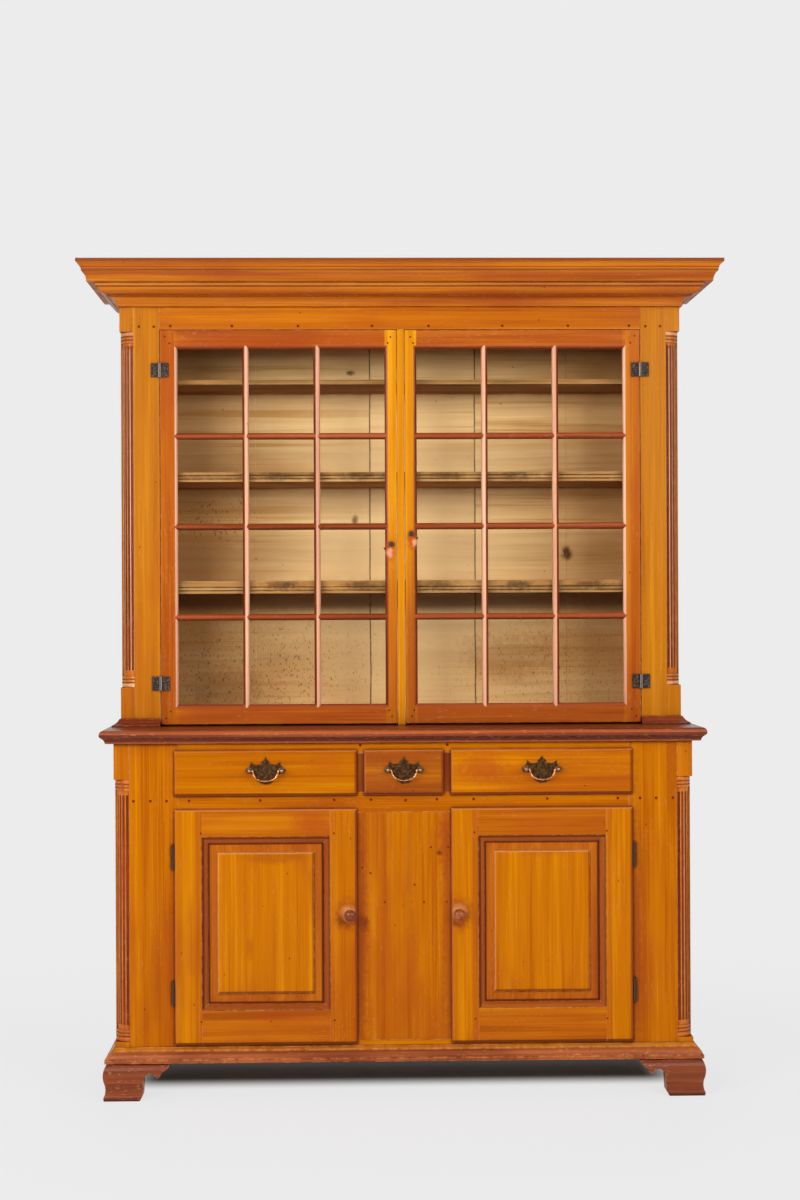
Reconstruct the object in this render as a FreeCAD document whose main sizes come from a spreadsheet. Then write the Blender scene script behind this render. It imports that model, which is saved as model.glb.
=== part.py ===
import FreeCAD, Part
import os
import re
import Sketcher

# Kitchen dresser in two cases: a glazed cupboard standing on a base with drawers and panelled doors.
# Millimetres. X runs to the right, Y to the back, Z up. The origin is on the floor under the middle.

doc = FreeCAD.newDocument("kitchen_dresser")
sheet = doc.addObject("Spreadsheet::Sheet", "sizes")

driving = {
    # Boards that both cases are made of
    "side_board": 22, "frame_board": 24, "back_board": 12, "floor_board": 18,
    "post_width": 50, "post_depth": 45, "tenon_length": 26, "tenon_board": 9,
    # Base case, from the floor up
    "base_width": 1476, "base_depth": 520, "foot_height": 94, "door_reveal": 4,
    "base_door_opening": 581, "drawer_rail_height": 51, "drawer_opening": 99, "base_top_rail": 42,
    "base_stile": 124, "centre_board_width": 258, "centre_drawer_opening": 185, "divider_width": 36,
    # Waist board and the cove under it
    "nose_reach": 34, "nose_top_round": 11, "nose_flat": 1, "nose_under_round": 8,
    "cove_height": 14, "cove_top": 29, "cove_foot": 20, "cove_hollow": 16,
    # Upper case
    "upper_inset": 3, "upper_depth": 360, "upper_stile": 68, "upper_door_opening": 1038,
    "frieze_height": 60, "centre_stile_width": 19, "cornice_lip": 14,
    "upper_floor_board": 15, "shelf_setback": 4,
    "lower_shelf_height": 347, "lower_shelf_board": 33,
    "middle_shelf_height": 641, "middle_shelf_board": 25,
    "top_shelf_height": 903, "top_shelf_board": 12, "top_shelf_setback": 59,
    "shelf_groove": 3, "shelf_groove_depth": 3, "shelf_bead": 6,
    "back_joint_far_left": -395, "back_joint_left": -77, "back_joint_right": 215,
    "back_joint_far_right": 470,
    # Quarter columns in the front corners
    "base_notch": 39, "base_column_radius": 34, "base_top_block": 106, "base_bottom_block": 51,
    "base_column_foot": 42, "base_column_capital": 40,
    "upper_notch": 36, "upper_column_radius": 31, "upper_top_block": 65, "upper_bottom_block": 102,
    "upper_column_foot": 45, "upper_column_capital": 37,
    "torus_height": 11, "torus_reach": 3.5, "ring_height": 6, "ring_reach": 3, "ring_gap": 3,
    "flute_radius": 4, "flute_proud": 1,
    # Cornice members, from the foot up, and how far each stands out from the case
    "bed_foot": 8, "bed_hollow": 16, "bed_step": 4, "bed_round": 20, "bed_fillet": 8,
    "crown_hollow": 26, "crown_step": 4, "crown_flare": 18, "crown_fillet": 8,
    "bed_foot_reach": 7, "bed_neck_reach": 26, "bed_step_reach": 30, "bed_belly_reach": 54,
    "bed_fillet_reach": 57, "soffit_reach": 77, "crown_neck_reach": 87, "crown_step_reach": 89,
    "cornice_reach": 102, "bed_hollow_radius": 24, "bed_round_radius": 32, "crown_radius": 40,
    "flare_radius": 26,
    # Retaining moulding round the foot of the upper case
    "retainer_height": 20, "retainer_reach": 22, "retainer_fillet": 4, "retainer_cap": 4,
    "retainer_hollow": 30,
    # Base moulding
    "base_mould_cap": 7, "base_mould_reach": 24, "base_mould_fillet": 9, "base_mould_round_reach": 22,
    "base_mould_round": 19, "base_mould_radius": 24, "base_mould_neck": 7, "base_mould_step": 3,
    "base_mould_top": 2, "base_mould_hollow": 9,
    # Ogee bracket feet: the moulded face, then the scroll sawn from its lower edge
    "foot_stock": 45, "foot_top_reach": 18, "foot_bulge_reach": 28, "foot_mid_reach": 25,
    "foot_mid_height": 46, "foot_neck_reach": 24, "foot_pad_height": 14, "foot_pad_reach": 25,
    "foot_pad_round": 12, "foot_hollow": 52, "foot_round": 52,
    "bracket_length": 140, "bracket_base": 65, "bracket_heel": 73, "bracket_heel_height": 14,
    "arch_side": 75, "arch_side_height": 54, "arch_top": 89, "arch_top_height": 69, "arch_radius": 20,
    "spur_tip": 109, "spur_height": 57, "spur_hollow": 20, "spur_back": 120, "spur_back_height": 70,
    "spur_round": 16, "bracket_end": 137, "bracket_end_height": 82, "rear_bracket_board": 20,
    "glue_block": 36, "glue_block_clear": 8,
    # Lipped edges of the drawers and the base doors
    "lip_overlap": 9, "lip_board": 9, "lip_gap": 0.4, "lip_round": 5, "rebate_gap": 1.2,
    # Base doors
    "door_back": 13, "door_stile": 69, "door_top_rail": 70, "door_bottom_rail": 89,
    "sticking": 16, "sticking_round": 26, "sticking_depth": 8, "sticking_step": 2,
    "groove_depth": 8, "groove_front": 10, "panel_tongue": 5, "panel_bevel": 25, "panel_step": 2,
    "panel_field_depth": 4, "panel_slack": 2,
    # Base door hinges
    "base_hinge_length": 62, "base_hinge_rise": 123, "base_hinge_drop": 113, "base_knuckle": 4,
    "base_hinge_leaf": 2, "base_leaf_width": 9,
    # Knobs of the base doors with their turn buttons
    "knob_rise": 30, "knob_inset": 19, "knob_radius": 15, "knob_neck": 7, "knob_neck_length": 8,
    "knob_cap": 16, "knob_spindle": 4, "button_length": 34, "button_tail": 8,
    "button_width": 12, "button_board": 8, "button_gap": 1,
    # Drawers
    "drawer_side": 12, "drawer_bottom": 8, "drawer_back": 10, "drawer_end_gap": 55, "drawer_slack": 1.5,
    "drawer_head_gap": 6, "runner_gap": 0.3, "runner_height": 20, "runner_ledge": 22, "guide_height": 25,
    # Drawer pulls: plate, posts and bail
    "pull_drop": 8, "plate_board": 1.6, "plate_half": 51, "plate_rise": 34, "plate_fall": 36,
    "crest_half": 12, "crest_height": 20, "crest_neck": 5, "crest_neck_height": 16,
    "wing_root": 27, "wing_root_height": 13, "wing_tip": 37, "wing_tip_height": 22,
    "plate_end_height": 1, "plate_low_half": 46, "plate_low": 9, "plate_curl_half": 20, "plate_curl": 25,
    "plate_curve": 22, "post_spacing": 82, "post_foot": 7, "post_foot_height": 3, "post_neck": 3.4,
    "post_ball": 5.5, "post_reach": 15, "bail_wire": 2.6, "bail_end_gap": 0.5, "bail_bend": 3.5,
    "bail_side_radius": 20, "bail_grip_radius": 44, "bail_pin": 1.8, "bail_pin_gap": 0.06,
    # Upper sashes
    "door_gap": 1.5, "sash_foot_gap": 5, "sash_board": 24, "hinge_stile": 45, "meeting_stile": 31,
    "sash_top_rail": 49, "sash_bottom_rail": 51, "sash_moulding": 8, "sash_moulding_depth": 7,
    "sash_lip_depth": 11, "sash_ovolo": 9, "bar_width": 17, "bar_nose": 4, "bar_tongue": 5,
    "glass": 2, "glass_slack": 0.6,
    # Upper hinges
    "upper_hinge_length": 37, "upper_hinge_rise": 112, "upper_hinge_drop": 106, "upper_knuckle": 4,
    "upper_leaf": 2.5, "upper_leaf_width": 23, "hinge_pin": 1.8, "hinge_pin_gap": 0.05, "knuckle_gap": 0.4,
    "hinge_clear": 0.3, "leaf_clear": 0.6,
    # Upper latches, the left one set lower so that the two catches pass each other
    "latch_inset": 15, "left_latch_drop": 46, "right_latch_drop": 19, "latch_knob": 6.5,
    "latch_neck": 3, "latch_neck_length": 5, "latch_cap": 7, "latch_spindle": 2.5, "catch_length": 22,
    "catch_width": 9, "catch_board": 3, "catch_droop": 38, "spindle_gap": 0.05, "turn_gap": 0.5,
}
for row, (alias, value) in enumerate(driving.items(), start=1):
    sheet.set(f"A{row}", alias)
    sheet.set(f"B{row}", str(value))
    sheet.setAlias(f"B{row}", alias)
doc.recompute()

# Places that many pieces share, worked out from the driving sizes
base_half = "(base_width / 2)"
base_open = "(base_width / 2 - base_notch - base_stile)"
upper_half = "(base_width / 2 - upper_inset)"
upper_open = "(base_width / 2 - upper_inset - upper_notch - upper_stile)"
back_y = "(base_depth + nose_reach) / 2"
base_face = f"({back_y} - base_depth)"
upper_face = f"({back_y} - upper_depth)"
base_mould_height = "(base_mould_fillet + base_mould_round + base_mould_step + base_mould_cap)"
base_floor = f"(foot_height + {base_mould_height} + door_reveal + lip_overlap)"
door_head = f"({base_floor} + base_door_opening)"
drawer_foot = f"({door_head} + drawer_rail_height)"
drawer_head = f"({drawer_foot} + drawer_opening)"
base_top = f"({drawer_head} + base_top_rail)"
waist_board = "(nose_top_round + nose_flat + nose_under_round)"
waist_top = f"({base_top} + {waist_board})"
sash_head = f"({waist_top} + upper_door_opening)"
cornice_foot = f"({sash_head} + frieze_height)"
bed_height = "(bed_foot + bed_hollow + bed_step + bed_round + bed_fillet)"
cornice_height = f"({bed_height} + crown_hollow + crown_step + crown_flare + crown_fillet)"
case_top = f"({cornice_foot} + {cornice_height} - cornice_lip)"
drawer_inner_edge = "(centre_drawer_opening / 2 + divider_width)"
knob_height = f"(({base_floor} + {door_head}) / 2 + knob_rise)"
tolerance = 0.01

nodes = {}


def bound(text):
    """Write each size in the text as a cell of the sheet."""
    return re.sub(r"[a-z_]+", lambda word: "sizes." * (word.group() in driving) + word.group(), text)


def value_of(text):
    return float(sheet.evalExpression(bound(text)))


def place(piece, x, y, z, turn=None):
    if turn:
        piece.Placement = FreeCAD.Placement(FreeCAD.Vector(), turn)
    for axis, text in zip("xyz", (x, y, z)):
        piece.setExpression(f"Placement.Base.{axis}", bound(text))


def board(name, x, y, z):
    """A squared board from its low and high edge along each axis."""
    piece = doc.addObject("Part::Box", name)
    place(piece, x[0], y[0], z[0])
    for size, (low, high) in zip(("Length", "Width", "Height"), (x, y, z)):
        piece.setExpression(size, bound(f"({high}) - ({low})"))
    return piece


def rod(name, axis, radius, x, y, z):
    """A round rod along one axis; the span of that axis is a pair, the other two are its centre."""
    spans = {"x": x, "y": y, "z": z}
    low, high = spans[axis]
    spans[axis] = low
    turns = {"x": FreeCAD.Rotation(FreeCAD.Vector(0, 1, 0), 90),
             "y": FreeCAD.Rotation(FreeCAD.Vector(1, 0, 0), -90)}
    piece = doc.addObject("Part::Cylinder", name)
    place(piece, spans["x"], spans["y"], spans["z"], turns.get(axis))
    piece.setExpression("Radius", bound(radius))
    piece.setExpression("Height", bound(f"({high}) - ({low})"))
    return piece


def joined(name, pieces):
    piece = doc.addObject("Part::MultiFuse", name)
    piece.Shapes = pieces
    return piece


def grouped(name, pieces):
    piece = doc.addObject("Part::Compound", name)
    piece.Links = pieces
    return piece


def cut_away(name, stock, tool):
    piece = doc.addObject("Part::Cut", name)
    piece.Base = stock
    piece.Tool = tool
    return piece


def shared(name, first, second):
    piece = doc.addObject("Part::Common", name)
    piece.Base = first
    piece.Tool = second
    return piece


def mirrored(name, piece):
    other = doc.addObject("Part::Mirroring", name)
    other.Source = piece
    other.Normal = FreeCAD.Vector(1, 0, 0)
    return other


def node(name, piece):
    piece.Label = name
    nodes[name] = piece


def pair(name, piece):
    """One node that holds a right-hand piece and its left-hand twin."""
    node(name, grouped(name + "_pair", [piece, mirrored(name + "_twin", piece)]))


def new_sketch(body, plane):
    sketch = body.newObject("Sketcher::SketchObject", body.Name + "_outline")
    support = [feature for feature in body.Origin.OriginFeatures if feature.Role == plane + "_Plane"][0]
    sketch.AttachmentSupport = [(support, "")]
    sketch.MapMode = "FlatFace"
    return sketch


def arc_between(start, end, radius, bend):
    """The short arc from start to end, swelling out of the outline (round) or into it (hollow)."""
    middle = (start + end) * 0.5
    along = end - start
    to_left = FreeCAD.Vector(-along.y, along.x, 0).normalize()
    rise = max(radius ** 2 - (along.Length / 2) ** 2, 0) ** 0.5
    centre = middle + to_left * (rise if bend == "round" else -rise)
    first, last = (start, end) if bend == "round" else (end, start)
    circle = Part.Circle(centre, FreeCAD.Vector(0, 0, 1), radius)
    return Part.ArcOfCircle(circle, circle.parameter(first), circle.parameter(last))


def fix_point(sketch, edge, end, x, y):
    for kind, axis, text in (("DistanceX", -2, x), ("DistanceY", -1, y)):
        if text == "0":
            sketch.addConstraint(Sketcher.Constraint("PointOnObject", edge, end, axis))
            continue
        index = sketch.addConstraint(Sketcher.Constraint(kind, -1, 1, edge, end, value_of(text)))
        sketch.setExpression(f"Constraints[{index}]", bound(text))


def draw(sketch, corners, closed=True):
    """Draw an outline, anticlockwise when closed. A corner that an arc leaves adds its radius and bend."""
    points = [FreeCAD.Vector(value_of(corner[0]), value_of(corner[1]), 0) for corner in corners]
    count = len(corners) if closed else len(corners) - 1
    ends = []
    for index in range(count):
        start, end = points[index], points[(index + 1) % len(points)]
        corner = corners[index]
        if len(corner) == 2:
            edge = sketch.addGeometry(Part.LineSegment(start, end), False)
            ends.append((edge, 1, 2))
            continue
        edge = sketch.addGeometry(arc_between(start, end, value_of(corner[2]), corner[3]), False)
        ends.append((edge, 1, 2) if corner[3] == "round" else (edge, 2, 1))
        radius = sketch.addConstraint(Sketcher.Constraint("Radius", edge, value_of(corner[2])))
        sketch.setExpression(f"Constraints[{radius}]", bound(corner[2]))
    for index in range(count if closed else count - 1):
        edge, _, tail = ends[index]
        following, head, _ = ends[(index + 1) % count]
        sketch.addConstraint(Sketcher.Constraint("Coincident", edge, tail, following, head))
    for index in range(count):
        edge, head, _ = ends[index]
        fix_point(sketch, edge, head, corners[index][0], corners[index][1])
    if not closed:
        edge, _, tail = ends[-1]
        fix_point(sketch, edge, tail, corners[-1][0], corners[-1][1])


def padded(name, plane, corners, length, at, turn=None):
    """An outline on one of the body's planes, pulled out to a length."""
    body = doc.addObject("PartDesign::Body", name)
    place(body, *at, turn=turn)
    sketch = new_sketch(body, plane)
    draw(sketch, corners)
    pad = body.newObject("PartDesign::Pad", name + "_pad")
    pad.Profile = sketch
    pad.setExpression("Length", bound(length))
    return body


def turned(name, corners, at, turn=None, angle=360):
    """A turned piece: the outline holds radius and height."""
    body = doc.addObject("PartDesign::Body", name)
    place(body, *at, turn=turn)
    sketch = new_sketch(body, "XZ")
    draw(sketch, corners)
    spin = body.newObject("PartDesign::Revolution", name + "_spin")
    spin.Profile = sketch
    spin.ReferenceAxis = (sketch, ["V_Axis"])
    spin.Angle = angle
    spin.Reversed = True
    return body


half_turn = FreeCAD.Rotation(FreeCAD.Vector(0, 0, 1), 180)
to_front = FreeCAD.Rotation(FreeCAD.Vector(1, 0, 0), 90)


def front_run(name, profile, half, face, foot, reach, inner=None):
    """Moulding across the front, mitred at both ends, or from a square inner end to the right mitre."""
    run = padded(name + "_run", "YZ", profile, f"2 * (({half}) + ({reach}))",
                 (f"({half}) + ({reach})", face, foot), half_turn)
    left_inner, left_outer = (inner, inner) if inner else (f"-({half})", f"-({half}) - ({reach})")
    plan = padded(name + "_plan", "XY",
                  [(left_inner, "0"), (left_outer, f"-({reach})"), (f"({half}) + ({reach})", f"-({reach})"),
                   (half, "0")],
                  profile_height(profile), ("0", face, foot))
    return shared(name, run, plan)


def side_run(name, profile, half, face, foot, reach):
    """Moulding along the right-hand side, from the front mitre to the back."""
    depth = f"({back_y}) - ({face})"
    run = padded(name + "_run", "XZ", profile, f"{depth} + ({reach})", (half, back_y, foot))
    plan = padded(name + "_plan", "XY",
                  [("0", f"-({depth})"), (reach, f"-({depth}) - ({reach})"), (reach, "0"), ("0", "0")],
                  profile_height(profile), (half, back_y, foot))
    return shared(name, run, plan)


def profile_height(profile):
    return profile[-1][1]


def moulding(name, profile, half, face, foot, reach):
    front = front_run(name + "_front", profile, half, face, foot, reach)
    right = side_run(name + "_right", profile, half, face, foot, reach)
    node(name, grouped(name + "_set", [front, right, mirrored(name + "_left", right)]))


def with_tenons(name, rail, x_low, x_high, y, z):
    """A rail with a tenon at each end; also gives the tenons, which the stiles are mortised for."""
    middle = f"(({y[0]}) + ({y[1]}) - tenon_board) / 2"
    thickness = (middle, f"{middle} + tenon_board")
    left = board(name + "_tenon_left", (f"({x_low}) - tenon_length", x_low), thickness, z)
    right = board(name + "_tenon_right", (x_high, f"({x_high}) + tenon_length"), thickness, z)
    return joined(name, [rail, left, right]), [left, right]


def base_carcase():
    inner = f"({base_half} - side_board)"
    front_in = f"({base_face} + frame_board)"
    back_in = f"({back_y} - back_board)"
    heights = ("foot_height", base_top)
    notch_x = (f"{base_half} - base_notch", base_half)
    notch_y = (base_face, f"{base_face} + base_notch")
    pair("base_sides", board("base_side", (inner, base_half), (notch_y[1], back_y), heights))
    node("base_back", board("base_back_board", (f"-{inner}", inner), (back_in, back_y), heights))
    stock = board("base_post_stock", (f"{inner} - post_width", inner),
                  (front_in, f"{front_in} + post_depth"), heights)
    post = cut_away("base_post", stock, board("base_notch_space", notch_x, notch_y, heights))
    low_block = board("base_low_block", notch_x, notch_y, ("foot_height", "foot_height + base_bottom_block"))
    high_block = board("base_high_block", notch_x, notch_y, (f"{base_top} - base_top_block", base_top))
    pair("base_corner_posts", grouped("base_corner", [post, low_block, high_block]))
    floor = board("base_floor_stock", (f"-{inner}", inner), (front_in, back_in),
                  (f"{base_floor} - floor_board", base_floor))
    corners = grouped("base_post_spaces", [stock, mirrored("base_post_stock_twin", stock)])
    node("base_floor", cut_away("base_floor_cut", floor, corners))


def base_frame():
    faces = (base_face, f"{base_face} + frame_board")
    across = (f"-{base_open}", base_open)
    rails = {
        "base_bottom_rail_board": ("foot_height", base_floor),
        "drawer_rail": (door_head, drawer_foot),
        "base_top_rail_board": (drawer_head, base_top),
    }
    tenons = []
    made = {}
    for name, heights in rails.items():
        rail = board(name + "_stock", across, faces, heights)
        made[name], ends = with_tenons(name + "_tenoned", rail, across[0], across[1], faces, heights)
        tenons.append(ends[1])
    node("drawer_rail", made["drawer_rail"])
    outer_rails = [made["base_bottom_rail_board"], made["base_top_rail_board"]]
    node("base_outer_rails", grouped("base_rails", outer_rails))
    stile = board("base_stile_stock", (base_open, f"{base_half} - base_notch"), faces,
                  ("foot_height", base_top))
    pair("base_stiles", cut_away("base_stile", stile, grouped("base_mortises", tenons)))
    node("centre_board", board("centre_panel", ("-centre_board_width / 2", "centre_board_width / 2"), faces,
                               (base_floor, door_head)))
    divider = board("divider", ("centre_drawer_opening / 2", drawer_inner_edge), faces,
                    (drawer_foot, drawer_head))
    pair("drawer_dividers", divider)


def drawer_runners():
    depth = (f"{base_face} + frame_board", f"{back_y} - back_board")
    runner_z = (f"{drawer_foot} - runner_height", drawer_foot)
    guide_z = (drawer_foot, f"{drawer_foot} + guide_height")
    inner_x = ("centre_drawer_opening / 2 - runner_ledge", f"{drawer_inner_edge} + runner_ledge")
    outer_x = (f"{base_open} - runner_ledge", f"{base_open} + runner_ledge")
    pieces = [
        board("inner_runner", inner_x, depth, runner_z),
        board("inner_guide", ("centre_drawer_opening / 2", drawer_inner_edge), depth, guide_z),
        board("outer_runner", outer_x, depth, runner_z),
        board("outer_guide", (base_open, outer_x[1]), depth, guide_z),
    ]
    pair("drawer_runners", grouped("runner_set", pieces))


def waist():
    body = doc.addObject("PartDesign::Body", "waist_body")
    place(body, "0", "0", base_top)
    sketch = new_sketch(body, "XY")
    half = f"{base_half} + nose_reach"
    front = f"{base_face} - nose_reach"
    draw(sketch, [(f"-({half})", front), (half, front), (half, back_y), (f"-({half})", back_y)])
    pad = body.newObject("PartDesign::Pad", "waist_pad")
    pad.Profile = sketch
    pad.setExpression("Length", bound(waist_board))
    doc.recompute()
    base = pad
    for name, height, radius in (("waist_top_round", waist_board, "nose_top_round"),
                                 ("waist_under_round", "0", "nose_under_round")):
        level = value_of(height)
        edges = [f"Edge{index}" for index, edge in enumerate(base.Shape.Edges, start=1)
                 if abs(edge.BoundBox.ZMin - level) < tolerance and edge.BoundBox.ZLength < tolerance
                 and edge.BoundBox.YMin < value_of(back_y) - tolerance]
        rounding = body.newObject("PartDesign::Fillet", name)
        rounding.Base = (base, edges)
        rounding.setExpression("Radius", bound(radius))
        doc.recompute()
        base = rounding
    node("waist_board", body)
    cove = [("0", "0"), ("cove_foot", "0", "cove_hollow", "hollow"), ("cove_top", "cove_height"),
            ("0", "cove_height")]
    moulding("waist_cove", cove, base_half, base_face, f"({base_top} - cove_height)", "cove_top")


def base_moulding():
    top_of_round = "base_mould_fillet + base_mould_round"
    profile = [
        ("0", "0"), ("base_mould_reach", "0"), ("base_mould_reach", "base_mould_fillet"),
        ("base_mould_round_reach", "base_mould_fillet", "base_mould_radius", "round"),
        ("base_mould_neck", top_of_round),
        ("base_mould_neck", f"{top_of_round} + base_mould_step", "base_mould_hollow", "hollow"),
        ("base_mould_top", base_mould_height), ("0", base_mould_height),
    ]
    moulding("base_moulding", profile, base_half, base_face, "foot_height", "base_mould_reach")


def bracket_feet():
    inner = "foot_bulge_reach - foot_stock"
    ogee = [
        (inner, "0"), ("foot_pad_reach", "0", "foot_pad_round", "round"),
        ("foot_neck_reach", "foot_pad_height", "foot_hollow", "hollow"),
        ("foot_mid_reach", "foot_mid_height", "foot_round", "round"),
        ("foot_top_reach", "foot_height"), (inner, "foot_height"),
    ]
    # The scroll is drawn from the case corner inwards, so its outer end is beyond the corner
    outer = "-foot_bulge_reach"
    scroll = [
        ("bracket_base", "0"), ("bracket_heel", "bracket_heel_height"),
        ("arch_side", "arch_side_height", "arch_radius", "hollow"),
        ("arch_top", "arch_top_height", "spur_hollow", "hollow"),
        ("spur_tip", "spur_height", "spur_round", "round"), ("spur_back", "spur_back_height"),
        ("bracket_end", "bracket_end_height"), ("bracket_length", "foot_height"),
        (outer, "foot_height"), (outer, "0"),
    ]
    length = "bracket_length + foot_bulge_reach"
    deep = "foot_stock + foot_bulge_reach"
    corner = f"({base_half} + foot_bulge_reach)"
    inner_x = f"({base_half} + ({inner}))"

    front_face = padded("foot_front_run", "YZ", ogee, length, (corner, base_face, "0"), half_turn)
    front_saw = padded("foot_front_saw", "XZ", scroll, deep,
                       (base_half, f"{base_face} - foot_bulge_reach", "0"), half_turn)
    front_plan = padded("foot_front_plan", "XY", [
        (f"-({deep}) - bracket_length", f"-({inner})"), (f"-({deep}) - bracket_length", "-foot_bulge_reach"),
        ("foot_bulge_reach", "-foot_bulge_reach"), (inner, f"-({inner})")],
        "foot_height", (base_half, base_face, "0"))
    front = shared("foot_front", shared("foot_front_sawn", front_face, front_saw), front_plan)
    side_face = padded("foot_side_run", "XZ", ogee, length,
                       (base_half, f"{base_face} + bracket_length", "0"))
    quarter = FreeCAD.Rotation(FreeCAD.Vector(0, 0, 1), 90)
    side_saw = padded("foot_side_saw", "XZ", scroll, deep, (inner_x, base_face, "0"), quarter)
    side_plan = padded("foot_side_plan", "XY", [
        (inner, f"-({inner})"), ("foot_bulge_reach", "-foot_bulge_reach"), ("foot_bulge_reach", length),
        (inner, length)], "foot_height", (base_half, base_face, "0"))
    side = shared("foot_side", shared("foot_side_sawn", side_face, side_saw), side_plan)
    block_x = (f"{inner_x} - glue_block", inner_x)
    block_z = ("glue_block_clear", "foot_height")
    block = board("foot_block", block_x,
                  (f"{base_face} - ({inner})", f"{base_face} - ({inner}) + glue_block"), block_z)
    pair("front_feet", grouped("front_foot", [front, side, block]))

    rear_turn = FreeCAD.Rotation(FreeCAD.Vector(0, 0, 1), -90)
    rear_face = padded("rear_foot_run", "XZ", ogee, "bracket_length", (base_half, back_y, "0"))
    rear_saw = padded("rear_foot_saw", "XZ", scroll, deep, (corner, back_y, "0"), rear_turn)
    rear_side = shared("rear_foot_side", rear_face, rear_saw)
    rear_front = f"({back_y} - rear_bracket_board)"
    rear_back = board("rear_foot_back", (f"{inner_x} - bracket_base", inner_x), (rear_front, back_y),
                      ("0", "foot_height"))
    rear_block = board("rear_foot_block", block_x, (f"{rear_front} - glue_block", rear_front), block_z)
    pair("rear_feet", grouped("rear_foot", [rear_side, rear_back, rear_block]))


def turned_about(corners):
    """The same outline mirrored left to right, listed anticlockwise again."""
    flipped = []
    count = len(corners)
    for index in range(count - 1, -1, -1):
        leaving = corners[(index - 1) % count]
        x = corners[index][0]
        flipped.append((f"-({x})" if x != "0" else "0", corners[index][1]) + tuple(leaving[2:]))
    return flipped


def column(name, half, notch, radius, face, low, high, foot, capital):
    length = f"(({high}) - ({low}))"
    torus = f"{radius} + torus_reach"
    ring = f"{radius} + ring_reach"

    def rings(level, direction):
        """Heights of one end's members, from the block towards the shaft."""
        steps = ["torus_height", "ring_gap", "ring_height", "ring_gap", "ring_height"]
        heights = [level]
        for step in steps:
            heights.append(f"{heights[-1]} {direction} {step}")
        return heights

    feet = rings("0", "+")
    caps = rings(length, "-")

    def bead(reach, under, over, bend):
        return [(reach, under, bend, "round"), (reach, over), (radius, over)]

    corners = [("0", "0")] + bead(torus, "0", feet[1], "torus_height")
    for under, over in ((feet[2], feet[3]), (feet[4], feet[5]), (caps[5], caps[4]), (caps[3], caps[2])):
        corners += [(radius, under)] + bead(ring, under, over, "ring_height")
    corners += [(radius, caps[1])] + bead(torus, caps[1], length, "torus_height")[:-1] + [("0", length)]
    axis_x = f"({half} - {notch})"
    axis_y = f"({face} + {notch})"
    shaft = turned(name + "_turning", corners, (axis_x, axis_y, low), angle=90)
    flutes = []
    flute_count = 5
    for index in range(flute_count):
        angle = 90 * (index + 0.5) / flute_count
        away = f"({radius} + flute_proud)"
        flutes.append(rod(f"{name}_flute{index}", "z", "flute_radius", f"{axis_x} + {away} * cos({angle})",
                          f"{axis_y} - {away} * sin({angle})", (f"{low} + {foot}", f"{high} - {capital}")))
    pair(name + "s", cut_away(name, shaft, grouped(name + "_flutes", flutes)))


def columns():
    column("base_column", base_half, "base_notch", "base_column_radius", base_face,
           "(foot_height + base_bottom_block)", f"({base_top} - base_top_block)",
           "base_column_foot", "base_column_capital")
    column("upper_column", upper_half, "upper_notch", "upper_column_radius", upper_face,
           f"({waist_top} + upper_bottom_block)", f"({cornice_foot} - upper_top_block)",
           "upper_column_foot", "upper_column_capital")


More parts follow.
